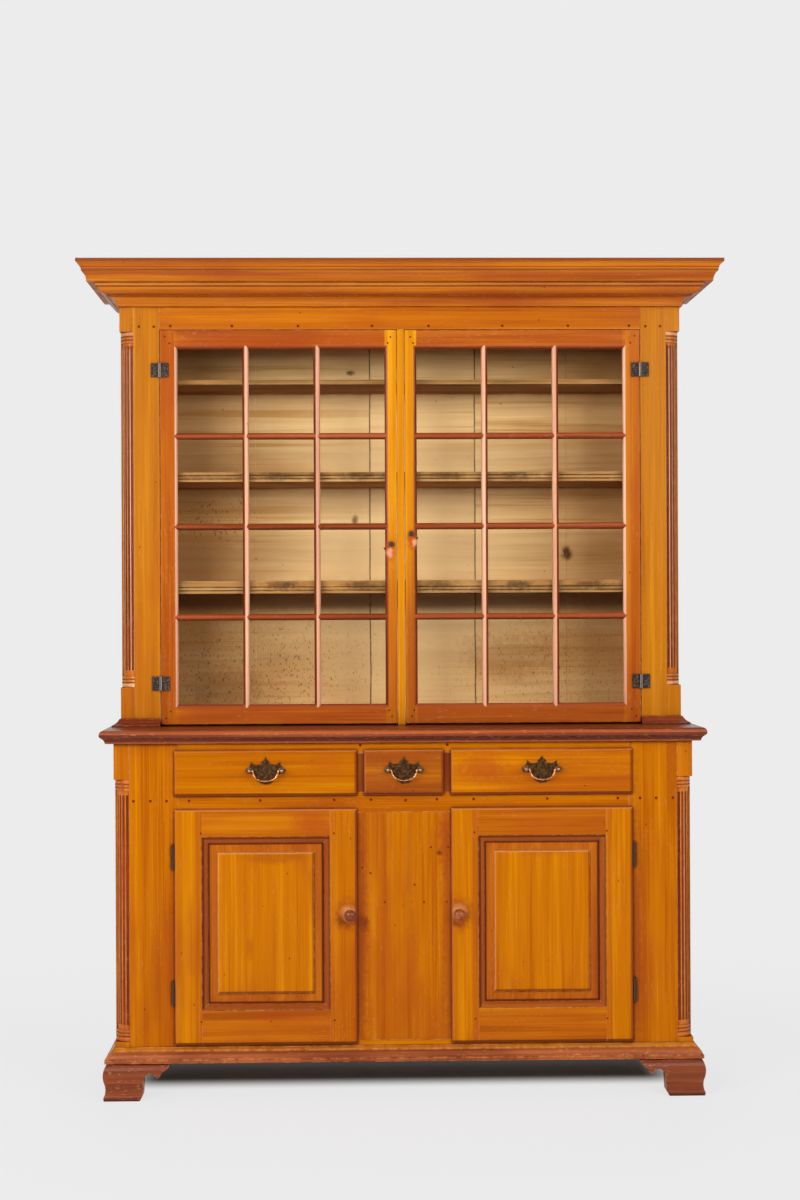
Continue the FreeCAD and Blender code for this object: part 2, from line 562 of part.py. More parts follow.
def upper_carcase():
    inner = f"({upper_half} - side_board)"
    front_in = f"({upper_face} + frame_board)"
    back_in = f"({back_y} - back_board)"
    faces = (upper_face, front_in)
    heights = (waist_top, case_top)
    notch_x = (f"{upper_half} - upper_notch", upper_half)
    notch_y = (upper_face, f"{upper_face} + upper_notch")
    pair("upper_sides", board("upper_side", (inner, upper_half), (notch_y[1], back_y), heights))
    stock = board("upper_post_stock", (f"{inner} - post_width", inner),
                  (front_in, f"{front_in} + post_depth"), heights)
    post = cut_away("upper_post", stock, board("upper_notch_space", notch_x, notch_y, heights))
    low_block = board("upper_low_block", notch_x, notch_y,
                      (waist_top, f"{waist_top} + upper_bottom_block"))
    high_block = board("upper_high_block", notch_x, notch_y,
                       (f"{cornice_foot} - upper_top_block", case_top))
    pair("upper_corner_posts", grouped("upper_corner", [post, low_block, high_block]))
    corners = grouped("upper_post_spaces", [stock, mirrored("upper_post_stock_twin", stock)])

    joints = [f"-{inner}", "back_joint_far_left", "back_joint_left", "back_joint_right",
              "back_joint_far_right", inner]
    planks = [board(f"back_plank{index}", (low, high), (back_in, back_y), heights)
              for index, (low, high) in enumerate(zip(joints, joints[1:]))]
    node("upper_back", grouped("back_planks", planks))

    def level(name, low, high, front):
        plank = board(name + "_stock", (f"-{inner}", inner), (front, back_in), (low, high))
        return cut_away(name + "_cut", plank, corners)

    node("upper_top", level("upper_top", f"{case_top} - floor_board", case_top, front_in))
    node("upper_floor", level("upper_floor", waist_top, f"{waist_top} + upper_floor_board",
                              f"{front_in} + shelf_setback"))
    for name in ("lower_shelf", "middle_shelf"):
        low = f"({waist_top} + {name}_height)"
        high = f"({low} + {name}_board)"
        front = f"({front_in} + shelf_setback)"
        first = f"({low} + shelf_bead)"
        second = f"({first} + shelf_groove + shelf_bead)"
        groove_y = (front, f"{front} + shelf_groove_depth")
        grooves = [board(f"{name}_groove{index}", (f"-{inner}", inner), groove_y,
                         (start, f"{start} + shelf_groove")) for index, start in enumerate((first, second))]
        plank = level(name, low, high, front)
        node(name, cut_away(name + "_moulded", plank, grouped(name + "_grooves", grooves)))
    top_low = f"({waist_top} + top_shelf_height)"
    node("top_shelf", level("top_shelf", top_low, f"{top_low} + top_shelf_board",
                            f"{front_in} + top_shelf_setback"))

    frieze_z = (sash_head, case_top)
    frieze = board("frieze_stock", (f"-{upper_open}", upper_open), faces, frieze_z)
    frieze, ends = with_tenons("frieze_tenoned", frieze, f"-{upper_open}", upper_open, faces, frieze_z)
    node("frieze_rail", frieze)
    stile = board("upper_stile_stock", (upper_open, notch_x[0]), faces, heights)
    pair("upper_stiles", cut_away("upper_stile", stile, ends[1]))
    node("centre_stile", board("centre_stile_board", ("-centre_stile_width / 2", "centre_stile_width / 2"),
                               faces, (waist_top, sash_head)))


def cornice():
    heights = ["0"]
    for step in ("bed_foot", "bed_hollow", "bed_step", "bed_round", "bed_fillet", "crown_hollow",
                 "crown_step", "crown_flare", "crown_fillet"):
        heights.append(step if heights[-1] == "0" else f"{heights[-1]} + {step}")
    profile = [
        ("0", "0"), ("bed_foot_reach", "0"),
        ("bed_foot_reach", heights[1], "bed_hollow_radius", "hollow"),
        ("bed_neck_reach", heights[2]), ("bed_step_reach", heights[2]),
        ("bed_step_reach", heights[3], "bed_round_radius", "round"),
        ("bed_belly_reach", heights[4]), ("bed_fillet_reach", heights[4]), ("bed_fillet_reach", heights[5]),
        ("soffit_reach", heights[5], "crown_radius", "hollow"),
        ("crown_neck_reach", heights[6]), ("crown_step_reach", heights[6]),
        ("crown_step_reach", heights[7], "flare_radius", "hollow"),
        ("cornice_reach", heights[8]), ("cornice_reach", heights[9]), ("0", heights[9]),
    ]
    moulding("cornice", profile, upper_half, upper_face, cornice_foot, "cornice_reach")


def retaining_moulding():
    profile = [("0", "0"), ("retainer_reach", "0"),
               ("retainer_reach", "retainer_fillet", "retainer_hollow", "hollow"),
               ("retainer_cap", "retainer_height"), ("0", "retainer_height")]
    where = (upper_half, upper_face, waist_top, "retainer_reach")
    front = front_run("retainer_front", profile, *where, inner=upper_open)
    side = side_run("retainer_side", profile, *where)
    pair("retaining_moulding", grouped("retainer", [front, side]))


def lipped_slab(name, x, z, back):
    """A board whose lip overlaps the opening all round and whose front edges are rounded over."""
    body = doc.addObject("PartDesign::Body", name + "_lip")
    place(body, "0", f"{base_face} - lip_gap", "0")
    sketch = new_sketch(body, "XZ")
    lip_x = (f"{x[0]} - lip_overlap", f"{x[1]} + lip_overlap")
    lip_z = (f"{z[0]} - lip_overlap", f"{z[1]} + lip_overlap")
    draw(sketch, [(lip_x[0], lip_z[0]), (lip_x[1], lip_z[0]), (lip_x[1], lip_z[1]), (lip_x[0], lip_z[1])])
    pad = body.newObject("PartDesign::Pad", name + "_lip_pad")
    pad.Profile = sketch
    pad.setExpression("Length", bound("lip_board"))
    doc.recompute()
    front = value_of(f"{base_face} - lip_gap - lip_board")
    edges = [f"Edge{index}" for index, edge in enumerate(body.Shape.Edges, start=1)
             if edge.BoundBox.YMax < front + tolerance]
    rounding = body.newObject("PartDesign::Fillet", name + "_lip_round")
    rounding.Base = (pad, edges)
    rounding.setExpression("Radius", bound("lip_round"))
    doc.recompute()
    core = board(name + "_core", (f"{x[0]} + rebate_gap", f"{x[1]} - rebate_gap"),
                 (f"{base_face} - lip_gap", f"{base_face} + {back}"),
                 (f"{z[0]} + rebate_gap", f"{z[1]} - rebate_gap"))
    return joined(name + "_slab", [body, core])


def drawer(side, x_low, x_high):
    name = f"{side}_drawer"
    front_back = f"({base_face} + door_back)"
    pull_x = f"(({x_low}) + ({x_high})) / 2"
    slab = lipped_slab(name, (x_low, x_high), (drawer_foot, drawer_head), "door_back")
    node(name + "_front", slab)
    low_x = f"({x_low} + drawer_slack)"
    high_x = f"({x_high} - drawer_slack)"
    foot = f"({drawer_foot} + runner_gap)"
    head = f"({drawer_head} - drawer_head_gap)"
    end = f"({back_y} - back_board - drawer_end_gap)"
    inside = (f"{low_x} + drawer_side", f"{high_x} - drawer_side")
    box = [
        board(name + "_left_side", (low_x, inside[0]), (front_back, end), (foot, head)),
        board(name + "_right_side", (inside[1], high_x), (front_back, end), (foot, head)),
        board(name + "_back_end", inside, (f"{end} - drawer_back", end), (foot, head)),
        board(name + "_bottom", inside, (front_back, f"{end} - drawer_back"),
              (f"{foot} + drawer_bottom", f"{foot} + 2 * drawer_bottom")),
    ]
    node(name + "_box", grouped(name + "_boards", box))
    pull(name, pull_x)


def pull(name, x):
    face = f"({base_face} - lip_gap - lip_board)"
    height = f"(({drawer_foot} + {drawer_head}) / 2 + pull_drop)"
    right = [
        ("0", "-plate_fall", "plate_curve", "round"),
        ("plate_curl_half", "-plate_curl", "plate_curve", "hollow"),
        ("plate_low_half", "-plate_low"), ("plate_half", "plate_end_height", "plate_curve", "hollow"),
        ("wing_tip", "wing_tip_height", "plate_curve", "hollow"), ("wing_root", "wing_root_height"),
        ("crest_neck", "crest_neck_height"), ("crest_half", "crest_height", "plate_curve", "hollow"),
        ("0", "plate_rise", "plate_curve", "hollow"),
    ]
    left = [(f"-{corner[0]}", corner[1]) + tuple(before[2:])
            for corner, before in zip(right[-2:0:-1], right[-3::-1])]
    plate = padded(name + "_plate", "XZ", right + left, "plate_board", (x, face, height))
    reach = "(plate_board + post_reach)"
    ball_y = f"({face} - {reach})"
    profile = [("0", "0"), ("post_foot", "0"), ("post_foot", "post_foot_height"),
               ("post_neck", "post_foot_height"),
               ("post_neck", f"{reach} - sqrt(post_ball ^ 2 - post_neck ^ 2)", "post_ball", "round"),
               ("0", f"{reach} + post_ball")]
    posts = []
    for end, sign in (("left", "-"), ("right", "+")):
        at = (f"{x} {sign} post_spacing / 2", face, height)
        posts.append(turned(f"{name}_{end}_post", profile, at, to_front))
    past_posts = "(post_spacing / 2 + 2 * post_ball)"
    hole = rod(name + "_pivot_hole", "x", "bail_pin + bail_pin_gap",
               (f"{x} - {past_posts}", f"{x} + {past_posts}"), ball_y, height)
    solid = joined(name + "_pull_solid", [plate] + posts)
    node(name + "_pull", cut_away(name + "_pull_bored", solid, hole))
    bail(name, x, ball_y, height)


def bail(name, x, y, z):
    """The swinging handle: a round wire bent to a bow, with thinner pins that turn in the posts."""
    half = "(post_spacing / 2 - post_ball - bail_end_gap - bail_bend)"
    centre = f"({half} - bail_side_radius)"
    grip_rise = f"sqrt((bail_grip_radius - bail_side_radius) ^ 2 - {centre} ^ 2)"
    share = "bail_grip_radius / (bail_grip_radius - bail_side_radius)"
    meet_x = f"{centre} * {share}"
    meet_z = f"-bail_bend + {grip_rise} - {grip_rise} * {share}"
    neck = f"({half} + bail_bend)"
    # The two small bends at the neck turn the other way from the bow
    route = [(f"-{neck}", "0", "bail_bend", "hollow"),
             (f"-{half}", "-bail_bend", "bail_side_radius", "round"),
             (f"-{meet_x}", meet_z, "bail_grip_radius", "round"),
             (meet_x, meet_z, "bail_side_radius", "round"),
             (half, "-bail_bend", "bail_bend", "hollow"), (neck, "0")]
    body = doc.addObject("PartDesign::Body", name + "_bow")
    place(body, x, y, z)
    path = new_sketch(body, "XZ")
    draw(path, route, closed=False)
    section = new_sketch(body, "YZ")
    wire = section.addGeometry(Part.Circle(FreeCAD.Vector(0, 0, 0), FreeCAD.Vector(0, 0, 1),
                                           value_of("bail_wire")), False)
    section.addConstraint(Sketcher.Constraint("Coincident", wire, 3, -1, 1))
    radius = section.addConstraint(Sketcher.Constraint("Radius", wire, value_of("bail_wire")))
    section.setExpression(f"Constraints[{radius}]", bound("bail_wire"))
    section.setExpression("AttachmentOffset.Base.z", bound(f"-{neck}"))
    sweep = body.newObject("PartDesign::AdditivePipe", name + "_bow_sweep")
    sweep.Profile = section
    sweep.Spine = path
    spans = {"left": (f"{x} - post_spacing / 2", f"{x} - {neck}"),
             "right": (f"{x} + {neck}", f"{x} + post_spacing / 2")}
    pins = [rod(f"{name}_{end}_pin", "x", "bail_pin", span, y, z) for end, span in spans.items()]
    node(name + "_bail", joined(name + "_bail_solid", [body] + pins))


def drawers():
    drawer("left", f"-{base_open}", f"-{drawer_inner_edge}")
    drawer("centre", "-centre_drawer_opening / 2", "centre_drawer_opening / 2")
    drawer("right", drawer_inner_edge, base_open)


def hinge(name, axis_x, axis_y, low, length, knuckle, case_leaf, door_leaf):
    """A three-knuckle hinge. The pin is fast in the case leaf, and the door leaf turns on it."""
    third = f"({length} / 3)"
    cuts = [low, f"({low} + {third})", f"({low} + 2 * {third})", f"({low} + {length})"]
    bottom = (cuts[0], f"{cuts[1]} - knuckle_gap / 2")
    middle = (f"{cuts[1]} + knuckle_gap / 2", f"{cuts[2]} - knuckle_gap / 2")
    top = (f"{cuts[2]} + knuckle_gap / 2", cuts[3])
    case = [board(name + "_case_leaf", case_leaf[0], case_leaf[1], (cuts[0], cuts[3])),
            rod(name + "_pin", "z", "hinge_pin", axis_x, axis_y, (cuts[0], cuts[3]))]
    for part, span in (("bottom", bottom), ("top", top)):
        case.append(rod(f"{name}_{part}_knuckle", "z", knuckle, axis_x, axis_y, span))
        case.append(board(f"{name}_{part}_strap", case_leaf[2], case_leaf[3], span))
    barrel = rod(name + "_door_knuckle", "z", knuckle, axis_x, axis_y, middle)
    leaf = board(name + "_door_leaf", door_leaf[0], door_leaf[1], (cuts[0], cuts[3]))
    strap = board(name + "_door_strap", door_leaf[2], door_leaf[3], middle)
    door = joined(name + "_door_stock", [leaf, barrel, strap])
    bore = rod(name + "_bore", "z", "hinge_pin + hinge_pin_gap", axis_x, axis_y, middle)
    return joined(name + "_case", case), cut_away(name + "_door", door, bore)


def knob(name, x, front, z, stem, spindle, neck, neck_length, cap_radius, cap):
    """A turned knob on a spindle that runs back through the door by the length of stem."""
    rim = f"({neck_length} + {cap} / 2)"
    dome = f"({cap} / 2 - turn_gap)"
    dome_radius = f"({cap_radius} ^ 2 + {dome} ^ 2) / (2 * {dome})"
    corners = [("0", f"-({stem})"), (spindle, f"-({stem})"), (spindle, "turn_gap"), (neck, "turn_gap"),
               (neck, neck_length, cap, "hollow"), (cap_radius, rim),
               (cap_radius, f"{rim} + turn_gap", dome_radius, "round"), ("0", f"{rim} + turn_gap + {dome}")]
    return turned(name, corners, (x, front, z), to_front)


def base_door():
    x = ("centre_board_width / 2", base_open)
    z = (base_floor, door_head)
    front = f"({base_face} - lip_gap - lip_board)"
    rear = f"({base_face} + door_back)"
    lip = (f"({x[0]} - lip_overlap)", f"({x[1]} + lip_overlap)")
    lip_z = (f"({z[0]} - lip_overlap)", f"({z[1]} + lip_overlap)")
    envelope = lipped_slab("base_door", x, z, "door_back")
    thick = f"({rear} - {front})"

    def section(width):
        """Across a stile or rail: square outer edge, moulded inner edge with a groove for the panel."""
        full = f"({width} + sticking)"
        groove_back = "groove_front + panel_tongue"
        return [("0", "0"), (width, "0"), (width, "sticking_step", "sticking_round", "round"),
                (full, "sticking_depth"), (full, "groove_front"), (f"{full} - groove_depth", "groove_front"),
                (f"{full} - groove_depth", groove_back), (full, groove_back), (full, thick), ("0", thick)]

    height = f"({lip_z[1]} - {lip_z[0]})"
    width = f"({lip[1]} - {lip[0]})"
    meeting = padded("base_meeting_stile_stock", "XY", section("door_stile"), height,
                     (lip[0], front, lip_z[0]))
    hanging = padded("base_hanging_stile_stock", "XY", turned_about(section("door_stile")), height,
                     (lip[1], front, lip_z[0]))
    # Rails are drawn across their section with height to the right and depth up
    on_side = FreeCAD.Rotation(FreeCAD.Vector(0, -1, 0), 90)
    bottom = padded("base_door_bottom_stock", "XY", section("door_bottom_rail"), width,
                    (lip[1], front, lip_z[0]), on_side)
    top = padded("base_door_top_stock", "XY", turned_about(section("door_top_rail")), width,
                 (lip[1], front, lip_z[1]), on_side)
    stiles = grouped("base_door_stiles_stock", [meeting, hanging])
    tenon_y = (f"{front} + groove_front", f"{front} + groove_front + panel_tongue")
    inner = (f"({lip[0]} + door_stile + sticking)", f"({lip[1]} - door_stile - sticking)")
    rails = []
    tenons = []
    for name, stock, heights in (
            ("bottom", bottom, (f"{z[0]} + rebate_gap", f"{lip_z[0]} + door_bottom_rail")),
            ("top", top, (f"{lip_z[1]} - door_top_rail", f"{z[1]} - rebate_gap"))):
        depth = "groove_depth + tenon_length"
        ends = [board(f"base_door_{name}_tenon_in", (f"{inner[0]} - ({depth})", inner[0]), tenon_y, heights),
                board(f"base_door_{name}_tenon_out", (inner[1], f"{inner[1]} + {depth}"), tenon_y, heights)]
        lipped = shared(f"base_door_{name}_lipped", stock, envelope)
        coped = cut_away(f"base_door_{name}_coped", lipped, stiles)
        rails.append(joined(f"base_door_{name}_rail", [coped] + ends))
        tenons += ends
    stiles = shared("base_door_stiles_lipped", stiles, envelope)
    stiles = cut_away("base_door_stiles", stiles, grouped("base_door_mortises", tenons))

    # Hinges stand just outside the lip, with both leaves hidden under it
    axis_x = f"({lip[1]} + base_knuckle + turn_gap)"
    axis_y = f"({base_face} - base_knuckle - hinge_clear)"
    under_lip = f"({base_face} - lip_gap)"
    recesses = []
    seats = []
    case_leaves = []
    door_leaves = []
    for name, low in (("base_low_hinge", f"({z[0]} + base_hinge_rise - base_hinge_length / 2)"),
                      ("base_high_hinge", f"({z[1]} - base_hinge_drop - base_hinge_length / 2)")):
        case_x = (f"{axis_x} - base_leaf_width - base_knuckle", f"{axis_x} + base_knuckle / 2")
        door_x = (f"{lip[1]} - base_leaf_width + turn_gap", f"{lip[1]} + turn_gap")
        case_y = (base_face, f"{base_face} + base_hinge_leaf")
        door_y = (f"{under_lip} - base_hinge_leaf", under_lip)
        case_strap = ((f"{axis_x} - hinge_pin", f"{axis_x} + hinge_pin"), (axis_y, case_y[1]))
        door_strap = ((f"{lip[1]} - turn_gap", f"{axis_x} - hinge_pin - hinge_clear"), door_y)
        case, door = hinge(name, axis_x, axis_y, low, "base_hinge_length", "base_knuckle",
                           (case_x, case_y) + case_strap, (door_x, door_y) + door_strap)
        case_leaves.append(case)
        door_leaves.append(door)
        span = (low, f"{low} + base_hinge_length")
        recesses.append(board(name + "_recess", (door_x[0], lip[1]), door_y, span))
        seats.append(board(name + "_seat", case_x, case_y, span))
    bore = rod("base_knob_bore", "y", "knob_spindle + spindle_gap", f"{lip[0]} + knob_inset",
               (f"{front} - turn_gap", f"{rear} + turn_gap"), knob_height)
    stiles = cut_away("base_door_stiles_fitted", stiles, grouped("base_door_recesses", recesses + [bore]))
    frame = grouped("base_door_frame", [stiles] + rails)

    # Raised panel, held by its tongue in the groove of the frame
    panel_x = (f"{inner[0]} - groove_depth + panel_slack", f"{inner[1]} + groove_depth - panel_slack")
    sight_z = (f"({lip_z[0]} + door_bottom_rail + sticking)", f"({lip_z[1]} - door_top_rail - sticking)")
    panel_z = (f"{sight_z[0]} - groove_depth + panel_slack", f"{sight_z[1]} + groove_depth - panel_slack")
    tongue = board("base_panel_tongue", panel_x, tenon_y, panel_z)
    field_x = (f"{inner[0]} + panel_bevel", f"{inner[1]} - panel_bevel")
    field_z = (f"{sight_z[0]} + panel_bevel", f"{sight_z[1]} - panel_bevel")
    bevel_y = f"({front} + panel_field_depth + panel_step)"
    bevel = doc.addObject("Part::Wedge", "base_panel_bevel")
    wedge = {"Xmin": inner[0], "Xmax": inner[1], "Zmin": sight_z[0], "Zmax": sight_z[1],
             "X2min": field_x[0], "X2max": field_x[1], "Z2min": field_z[0], "Z2max": field_z[1]}
    # The wedge is turned about the door's upright so that it narrows to the front
    for name, text in wedge.items():
        bevel.setExpression(name, bound(text))
    bevel.setExpression("Ymin", bound("0"))
    bevel.setExpression("Ymax", bound(f"{tenon_y[0]} - {bevel_y}"))
    place(bevel, f"{inner[0]} + {inner[1]}", tenon_y[0], "0", half_turn)
    field = board("base_panel_field", field_x, (f"{front} + panel_field_depth", tenon_y[0]), field_z)
    panel = joined("base_panel", [tongue, bevel, field])
    pair("base_hinge_leaves", grouped("base_case_leaves", case_leaves))
    # The stiles of the case are let in for the fixed leaves
    seats = grouped("base_hinge_seats", seats + [mirrored(seat.Name + "_twin", seat) for seat in seats])
    node("base_stiles", cut_away("base_stiles_fitted", nodes["base_stiles"], seats))
    return {"frame": frame, "panel": panel, "hinges": grouped("base_door_leaves", door_leaves)}


def base_doors():
    pieces = base_door()
    for side in ("right", "left"):
        for name, piece in pieces.items():
            own = piece if side == "right" else mirrored(f"base_door_{name}_twin", piece)
            node(f"{side}_base_door_{name}", own)
        node(f"{side}_base_knob", base_knob(side))


def base_knob(side):
    sign = "" if side == "right" else "-"
    x = f"{sign}(centre_board_width / 2 - lip_overlap + knob_inset)"
    front = f"({base_face} - lip_gap - lip_board)"
    button_y = f"({base_face} + frame_board + button_gap)"
    stem = f"({button_y} - {front} + button_board)"
    grip = knob(f"{side}_knob_turning", x, front, knob_height, stem, "knob_spindle", "knob_neck",
                "knob_neck_length", "knob_radius", "knob_cap")
    button = board(f"{side}_button", (f"{x} - button_width / 2", f"{x} + button_width / 2"),
                   (button_y, f"{button_y} + button_board"),
                   (f"{knob_height} - button_length", f"{knob_height} + button_tail"))
    return joined(f"{side}_base_knob_solid", [grip, button])


def sash():
    x = ("(centre_stile_width / 2 + door_gap)", f"({upper_open} - door_gap)")
    z = (f"({waist_top} + sash_foot_gap)", f"({sash_head} - door_gap)")

    def section(width):
        """Across a sash member: ovolo on the front inner edge, rebate for the glass behind it."""
        flat = f"({width} - sash_moulding)"
        return [("0", "0"), (flat, "0", "sash_ovolo", "round"), (width, "sash_moulding_depth"),
                (width, "sash_lip_depth"), (flat, "sash_lip_depth"), (flat, "sash_board"),
                ("0", "sash_board")]

    side = "(bar_width / 2)"
    nose = "(bar_nose / 2)"
    tongue = "(bar_tongue / 2)"
    bar = [(f"-{nose}", "0"), (nose, "0", "sash_ovolo", "round"), (side, "sash_moulding_depth"),
           (side, "sash_lip_depth"), (tongue, "sash_lip_depth"), (tongue, "sash_board"),
           (f"-{tongue}", "sash_board"), (f"-{tongue}", "sash_lip_depth"), (f"-{side}", "sash_lip_depth"),
           (f"-{side}", "sash_moulding_depth", "sash_ovolo", "round")]
    on_side = FreeCAD.Rotation(FreeCAD.Vector(0, -1, 0), 90)
    height = f"({z[1]} - {z[0]})"
    width = f"({x[1]} - {x[0]})"
    meeting = padded("sash_meeting_stock", "XY", section("meeting_stile"), height, (x[0], upper_face, z[0]))
    hanging = padded("sash_hanging_stock", "XY", turned_about(section("hinge_stile")), height,
                     (x[1], upper_face, z[0]))
    bottom = padded("sash_bottom_stock", "XY", section("sash_bottom_rail"), width,
                    (x[1], upper_face, z[0]), on_side)
    top = padded("sash_top_stock", "XY", turned_about(section("sash_top_rail")), width,
                 (x[1], upper_face, z[1]), on_side)
    stiles = grouped("sash_stiles_stock", [meeting, hanging])

    sight_x = (f"({x[0]} + meeting_stile)", f"({x[1]} - hinge_stile)")
    sight_z = (f"({z[0]} + sash_bottom_rail)", f"({z[1]} - sash_top_rail)")
    lights_across, lights_up = 3, 4
    pane_w = f"(({sight_x[1]} - {sight_x[0]} - {lights_across - 1} * bar_width) / {lights_across})"
    pane_h = f"(({sight_z[1]} - {sight_z[0]} - {lights_up - 1} * bar_width) / {lights_up})"

    tenon_y = (f"{upper_face} + sash_lip_depth", f"{upper_face} + sash_lip_depth + tenon_board")
    rails = []
    tenons = []
    for name, stock, heights in (
            ("bottom", bottom, (z[0], f"{sight_z[0]} - sash_moulding")),
            ("top", top, (f"{sight_z[1]} + sash_moulding", z[1]))):
        shorter = (f"{heights[0]} + tenon_board", f"{heights[1]} - tenon_board")
        spans = {"in": (f"{sight_x[0]} - tenon_length", f"{sight_x[0]} + sash_moulding"),
                 "out": (f"{sight_x[1]} - sash_moulding", f"{sight_x[1]} + tenon_length")}
        ends = [board(f"sash_{name}_tenon_{end}", span, tenon_y, shorter) for end, span in spans.items()]
        coped = cut_away(f"sash_{name}_coped", stock, stiles)
        rails.append(joined(f"sash_{name}_rail", [coped] + ends))
        tenons += ends
    fitted_stiles = cut_away("sash_stiles", stiles, grouped("sash_mortises", tenons))

    frame_stock = grouped("sash_frame_stock", [bottom, top])
    uprights = []
    for index in range(1, lights_across):
        at = f"{sight_x[0]} + {index} * {pane_w} + ({index} - 0.5) * bar_width"
        stock = padded(f"sash_upright{index}_stock", "XY", bar, height, (at, upper_face, z[0]))
        uprights.append(stock)
    fitted_uprights = [cut_away(f"sash_upright{index}", stock, frame_stock)
                       for index, stock in enumerate(uprights)]
    crossing = grouped("sash_crossing_stock", [meeting, hanging] + uprights)
    bars = []
    for index in range(1, lights_up):
        at = f"{sight_z[0]} + {index} * {pane_h} + ({index} - 0.5) * bar_width"
        stock = padded(f"sash_bar{index}_stock", "XY", bar, width, (x[1], upper_face, at), on_side)
        bars.append(cut_away(f"sash_bar{index}", stock, crossing))

    lap = "((bar_width - bar_tongue) / 2 - glass_slack)"
    panes = []
    for column_index in range(lights_across):
        for row_index in range(lights_up):
            low_x = f"({sight_x[0]} + {column_index} * ({pane_w} + bar_width))"
            low_z = f"({sight_z[0]} + {row_index} * ({pane_h} + bar_width))"
            panes.append(board(f"pane{column_index}{row_index}",
                               (f"{low_x} - {lap}", f"{low_x} + {pane_w} + {lap}"),
                               (f"{upper_face} + sash_lip_depth", f"{upper_face} + sash_lip_depth + glass"),
                               (f"{low_z} - {lap}", f"{low_z} + {pane_h} + {lap}")))
    return x, fitted_stiles, rails + fitted_uprights + bars, grouped("panes", panes)


def sashes():
    x, stiles, members, panes = sash()
    axis_x = f"({upper_open} - door_gap / 2)"
    axis_y = f"({upper_face} - upper_knuckle - hinge_clear)"
    case_leaves = []
    door_leaves = []
    leaf_y = (f"{upper_face} - upper_leaf", upper_face)
    start = "(upper_knuckle + leaf_clear)"
    for name, middle in (("upper_low_hinge", f"({waist_top} + upper_hinge_rise)"),
                         ("upper_high_hinge", f"({sash_head} - upper_hinge_drop)")):
        low = f"({middle} - upper_hinge_length / 2)"
        case_x = (f"{axis_x} + {start}", f"{axis_x} + upper_leaf_width")
        door_x = (f"{axis_x} - upper_leaf_width", f"{axis_x} - {start}")
        bore = "(hinge_pin + hinge_clear)"
        case_strap = ((f"{axis_x} + {bore}", f"{axis_x} + {start}"), leaf_y)
        door_strap = ((f"{axis_x} - {start}", f"{axis_x} - {bore}"), leaf_y)
        case, door = hinge(name, axis_x, axis_y, low, "upper_hinge_length", "upper_knuckle",
                           (case_x, leaf_y) + case_strap, (door_x, leaf_y) + door_strap)
        case_leaves.append(case)
        door_leaves.append(door)
    pair("upper_hinge_leaves", grouped("upper_case_leaves", case_leaves))
    hung = grouped("upper_door_leaves", door_leaves)
    for side in ("right", "left"):
        latch, bore = sash_latch(side, x[0])
        own_stiles = stiles if side == "right" else mirrored("sash_stiles_twin", stiles)
        own_members = members
        if side == "left":
            own_members = [mirrored(piece.Name + "_twin", piece) for piece in members]
        bored = cut_away(f"{side}_sash_stiles", own_stiles, bore)
        node(f"{side}_sash", grouped(f"{side}_sash_frame", [bored] + own_members))
        node(f"{side}_glass", panes if side == "right" else mirrored("panes_twin", panes))
        node(f"{side}_sash_hinges", hung if side == "right" else mirrored("upper_door_leaves_twin", hung))
        node(f"{side}_latch", latch)


def sash_latch(side, inner_edge):
    sign = "" if side == "right" else "-"
    x = f"{sign}({inner_edge} + latch_inset)"
    z = f"(({waist_top} + sash_foot_gap + {sash_head} - door_gap) / 2 - {side}_latch_drop)"
    catch_y = f"({upper_face} + sash_board + turn_gap)"
    stem = f"({catch_y} - {upper_face} + catch_board)"
    grip = knob(f"{side}_latch_turning", x, upper_face, z, stem, "latch_spindle", "latch_neck",
                "latch_neck_length", "latch_knob", "latch_cap")
    # The catch hangs outwards and down from the spindle when the sash is free to open
    half = "(catch_width / 2)"
    corners = [(f"-{half}", f"-{half}"), ("catch_length", f"-{half}"), ("catch_length", half),
               (f"-{half}", half)]
    outline = [(f"{along} * cos(catch_droop) + {across} * sin(catch_droop)",
                f"{across} * cos(catch_droop) - {along} * sin(catch_droop)") for along, across in corners]
    if side == "left":
        outline = turned_about(outline)
    catch = padded(f"{side}_catch", "XZ", outline, "catch_board", (x, f"{catch_y} + catch_board", z))
    bore = rod(f"{side}_latch_bore", "y", "latch_spindle + spindle_gap", x,
               (f"{upper_face} - turn_gap", f"{upper_face} + sash_board + turn_gap"), z)
    return joined(f"{side}_latch_solid", [grip, catch]), bore


base_carcase()
base_frame()
drawer_runners()
waist()
base_moulding()
bracket_feet()
columns()
upper_carcase()
cornice()
retaining_moulding()
drawers()
base_doors()
sashes()
doc.recompute()

faults = [f"{piece.Name}: {piece.State}" for piece in doc.Objects if {"Invalid", "Error"} & set(piece.State)]
faults += [f"{name}: bad shape" for name, piece in nodes.items()
           if piece.Shape.isNull() or not piece.Shape.isValid()]
if faults:
    raise RuntimeError("; ".join(faults))

os.makedirs("parts", exist_ok=True)
for name, piece in nodes.items():
    piece.Shape.exportStep(f"parts/{name}.step")
print(f"{len(nodes)} nodes, {sum(len(piece.Shape.Solids) for piece in nodes.values())} solids")
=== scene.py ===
import math
import random
import bmesh
import bpy
import numpy as np
from mathutils import Matrix, Vector


